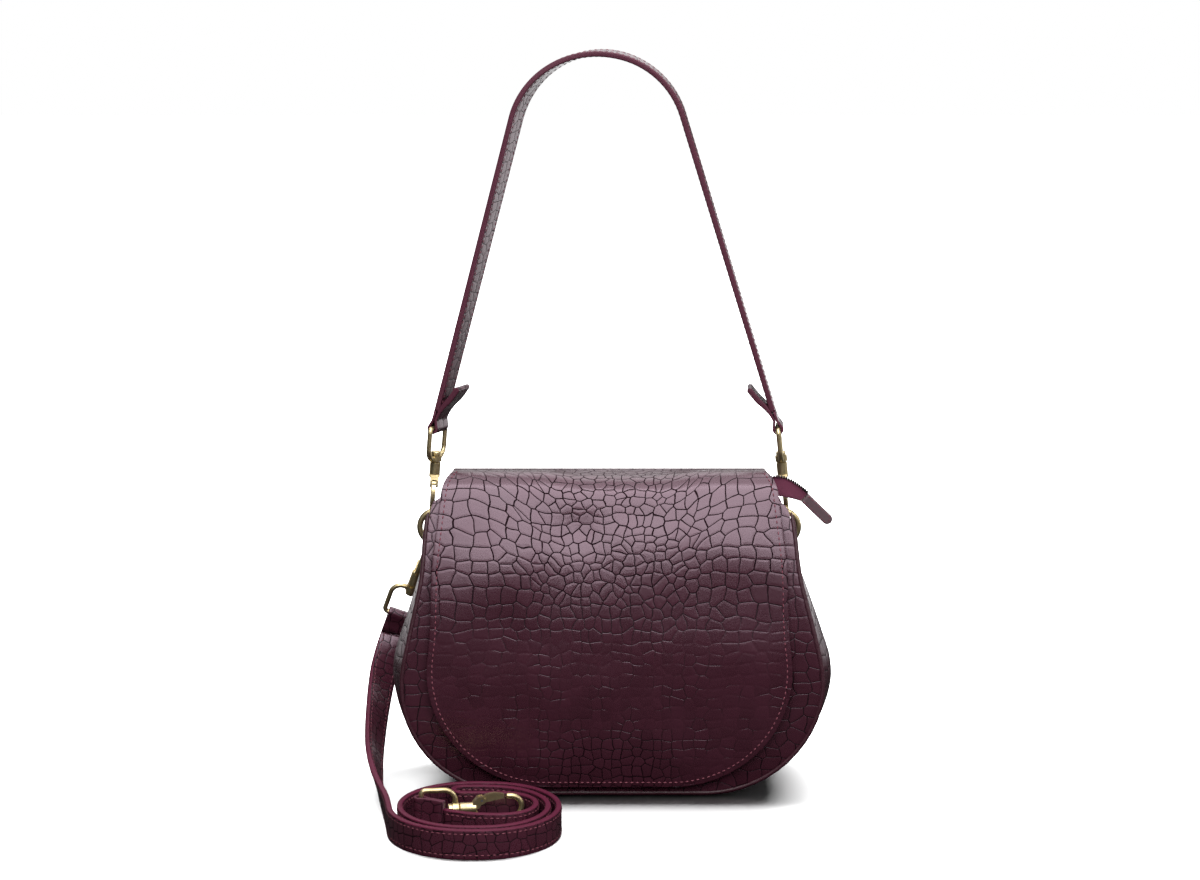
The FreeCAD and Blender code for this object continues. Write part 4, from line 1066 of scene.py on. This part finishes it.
def smoothLine(route):
    # points read from one curve on the route
    curve = bpy.data.curves.new("crossbody_line", "CURVE")
    curve.dimensions = "3D"
    curve.resolution_u = 8
    spline = curve.splines.new("NURBS")
    spline.points.add(len(route) - 1)
    for point, knot in zip(route, spline.points):
        knot.co = (*(point * 0.001), 1.0)
    spline.order_u = 3
    spline.use_endpoint_u = True
    holder = bpy.data.objects.new("crossbody_line", curve)
    mesh = bpy.data.meshes.new_from_object(holder)
    line = [v.co * 1000 for v in mesh.vertices]
    bpy.data.objects.remove(holder)
    bpy.data.meshes.remove(mesh)
    bpy.data.curves.remove(curve)
    return line


def crossbodyFrames(line, riser):
    # flat at the hook, turned on edge by the time the coil starts
    keys = [(0.0, 0.0)]
    for (a, turnA), (b, turnB) in zip(riser, riser[1:]):
        keys.append((keys[-1][0] + (b - a).length, turnB))
    frames, run = [], 0.0
    for i, (point, way) in enumerate(headings(line)):
        if i:
            run += (point - line[i - 1]).length
        wide = Vector((0, 0, 1))
        for (start, turnA), (end, turnB) in zip(keys, keys[1:]):
            if start <= run < end:
                turn = math.radians(turnA + (turnB - turnA) * (run - start) / (end - start))
                flat = squareTo(Vector((-1, 0, 0)), way)
                wide = flat * math.cos(turn) + flat.cross(way) * math.sin(turn)
        frames.append((point, wide, way.cross(wide).normalized()))
    return frames, run


def crossbodyStrap():
    stubEnd = upperBar + upperWay * cross["upperStub"]
    coil = [Vector((p.x, p.y, strap["width"] / 2)) for p in coilRoute()]
    riser = [(stubEnd, 0.0)] + [(Vector(p[:3]) * 1000, p[3]) for p in riserRoute] + [(coil[0], 90.0)]
    line = smoothLine([p for p, turn in riser] + coil[1:])
    frames, run = crossbodyFrames(line, riser)
    print("crossbody strap", round(run), "mm on its line")
    piece = bandPiece("crossbody_strap_leather", frames, strap["width"], strap["thick"], strap["soft"],
                      [strapLeather, edgePaint], "bag", ["crossbody_riser", "crossbody_coil"], 6.6, 10)
    sewing = sewBoth(frames, "crossbody_strap_stitches", "bag")
    endWay = (line[-1] - line[-2]).normalized()
    freeBar = line[-1] + endWay * cross["freeStub"]
    freeBar.z = cross["freeLift"]
    upperEnd = strapEnd("crossbody_upper_end_leather", upperBar, upperWay, upperWide, 0, cross["upperStub"], "bag",
                        "crossbody_upper_end")
    freeEnd = strapEnd("crossbody_free_end_leather", freeBar, -endWay, Vector((0, 0, 1)), 0, cross["freeStub"], "bag",
                       "crossbody_free_end")
    fittings = [nodes[hook + part] for hook in ("free", "upper")
                for part in ("_eye", "_hook", "_gate", "_gate_pin", "_gate_spring")]
    run * 0.001
    fittings + [sewing, upperEnd, freeEnd]


crossbodyStrap()
print("crossbody strap made")

# Rigid pieces keep their CAD shape

finishOf = {"left_ring": agedBrass, "right_ring": agedBrass, "zip_slider": zipMetal, "zip_pull": zipMetal,
            "zip_end_stop": zipMetal, "magnet_socket": plainSteel, "magnet_stud": plainSteel,
            "base_board": boardPlastic}
for hook in ("left", "right", "upper", "free"):
    for part in ("_eye", "_hook", "_gate"):
        finishOf[hook + part] = agedBrass
    for part in ("_gate_pin", "_gate_spring"):
        finishOf[hook + part] = plainSteel
for label, finish in finishOf.items():
    nodes[label].data.materials.clear()
    nodes[label].data.materials.append(finish)
print("hardware finished")

# Floor, light and camera

studio = {"floor": 6.0, "world": 0.06, "white": (1, 1, 1, 1), "black": (0, 0, 0, 1),
          "clear": (0.42, 0.95), "bounce": (0.04, 0.04, 0.04, 1), "gloss": (0.01, 0.01, 0.01, 1),
          "shown": (0.92, 0.92, 0.92, 1), "behind": (0.5, 1.1), "backdrop": (1.8, 1.8, 1.8, 1)}
lamps = {  # place, aim, size and power
    "front_light": ((0.14, -1.62, 1.81), (0, 0, 0.2), (2.4, 2.50), 98.0),
    "top_light": ((0.0, 0.45, 1.7), (0, 0.45, 0.1), (1.8, 2.4), 36.0),
    "back_light": ((0.0, 1.6, 1.15), (0, 0, 0.3), (3.4, 1.2), 18.0),
    "side_light": ((1.6, -0.3, 0.8), (0, 0, 0.12), (0.6, 1.0), 9.0),
    "ground_light": ((0.0, 0.60, 2.2), (0, 0, 0), (3.4, 1.2), 250.0),
}
view = {"place": (-0.006, -1.700, 0.552), "tilt": 79.1, "lens": 81.6, "sensor": 36.0}


def floorFinish():
    # white to the camera beyond the shadow, calmer in the leather's reflections
    f = Finish("pale_floor", Roughness=0.9, Specular_IOR_Level=0.05, Emission_Strength=1.0)
    seen = f.add("ShaderNodeLightPath", output="Is Camera Ray")
    shine = f.add("ShaderNodeLightPath", output="Is Glossy Ray")
    calm = f.mix(shine, studio["bounce"], studio["gloss"])
    f.feed("Base Color", f.mix(seen, calm, studio["shown"]))
    spot = f.add("ShaderNodeTexCoord", output="Object")
    away = f.add("ShaderNodeVectorMath", {"operation": "LENGTH"}, {0: spot}, "Value")
    behind = f.step(f.add("ShaderNodeSeparateXYZ", None, {0: spot}, 1), *studio["behind"])
    clear = f.mix(f.step(away, *studio["clear"]) * seen, studio["black"], studio["white"])
    glow = f.mix(behind, studio["black"], studio["backdrop"])
    f.feed("Emission Color", f.mix(shine, clear, glow))
    return f.material


def floorForm(bm):
    bmesh.ops.create_grid(bm, x_segments=2, y_segments=2, size=studio["floor"])


floorMesh = smallShape("floor", floorForm)
floorMesh.materials.append(floorFinish())
floor = bpy.data.objects.new("floor", floorMesh)
bpy.context.scene.collection.objects.link(floor)

world = bpy.data.worlds.new("studio")
bpy.context.scene.world = world
world.use_nodes = True
sky = Board(world.node_tree)
seen = sky.add("ShaderNodeLightPath", output="Is Camera Ray")
skyLight = sky.add("ShaderNodeBackground", None, {"Color": studio["white"], "Strength": studio["world"]})
skyShown = sky.add("ShaderNodeBackground", None, {"Color": studio["white"], "Strength": 1.0})
sky.add("ShaderNodeOutputWorld", None, {0: sky.add("ShaderNodeMixShader", None, {0: seen, 1: skyLight, 2: skyShown})})


def lightList(name, state):
    chosen = bpy.data.collections.new(name)
    chosen.objects.link(floor)
    chosen.collection_objects[0].light_linking.link_state = state
    return chosen


offFloor, onlyFloor = lightList("off_floor", "EXCLUDE"), lightList("only_floor", "INCLUDE")


def softLight(name, place, aim, size, power):
    lamp = bpy.data.lights.new(name, "AREA")
    lamp.shape = "RECTANGLE"
    lamp.size, lamp.size_y = size
    lamp.energy = power
    holder = bpy.data.objects.new(name, lamp)
    holder.location = place
    holder.rotation_euler = (Vector(aim) - Vector(place)).to_track_quat("-Z", "Y").to_euler()
    bpy.context.scene.collection.objects.link(holder)
    holder.light_linking.receiver_collection = onlyFloor if name == "ground_light" else offFloor


for name, settings in lamps.items():
    softLight(name, *settings)

camera = bpy.data.cameras.new("camera")
camera.sensor_width = view["sensor"]
camera.lens = view["lens"]
viewer = bpy.data.objects.new("camera", camera)
viewer.location = view["place"]
viewer.rotation_euler = (math.radians(view["tilt"]), 0, 0)
bpy.context.scene.collection.objects.link(viewer)
bpy.context.scene.camera = viewer
bpy.context.scene.view_settings.view_transform = "Standard"
print("studio made")
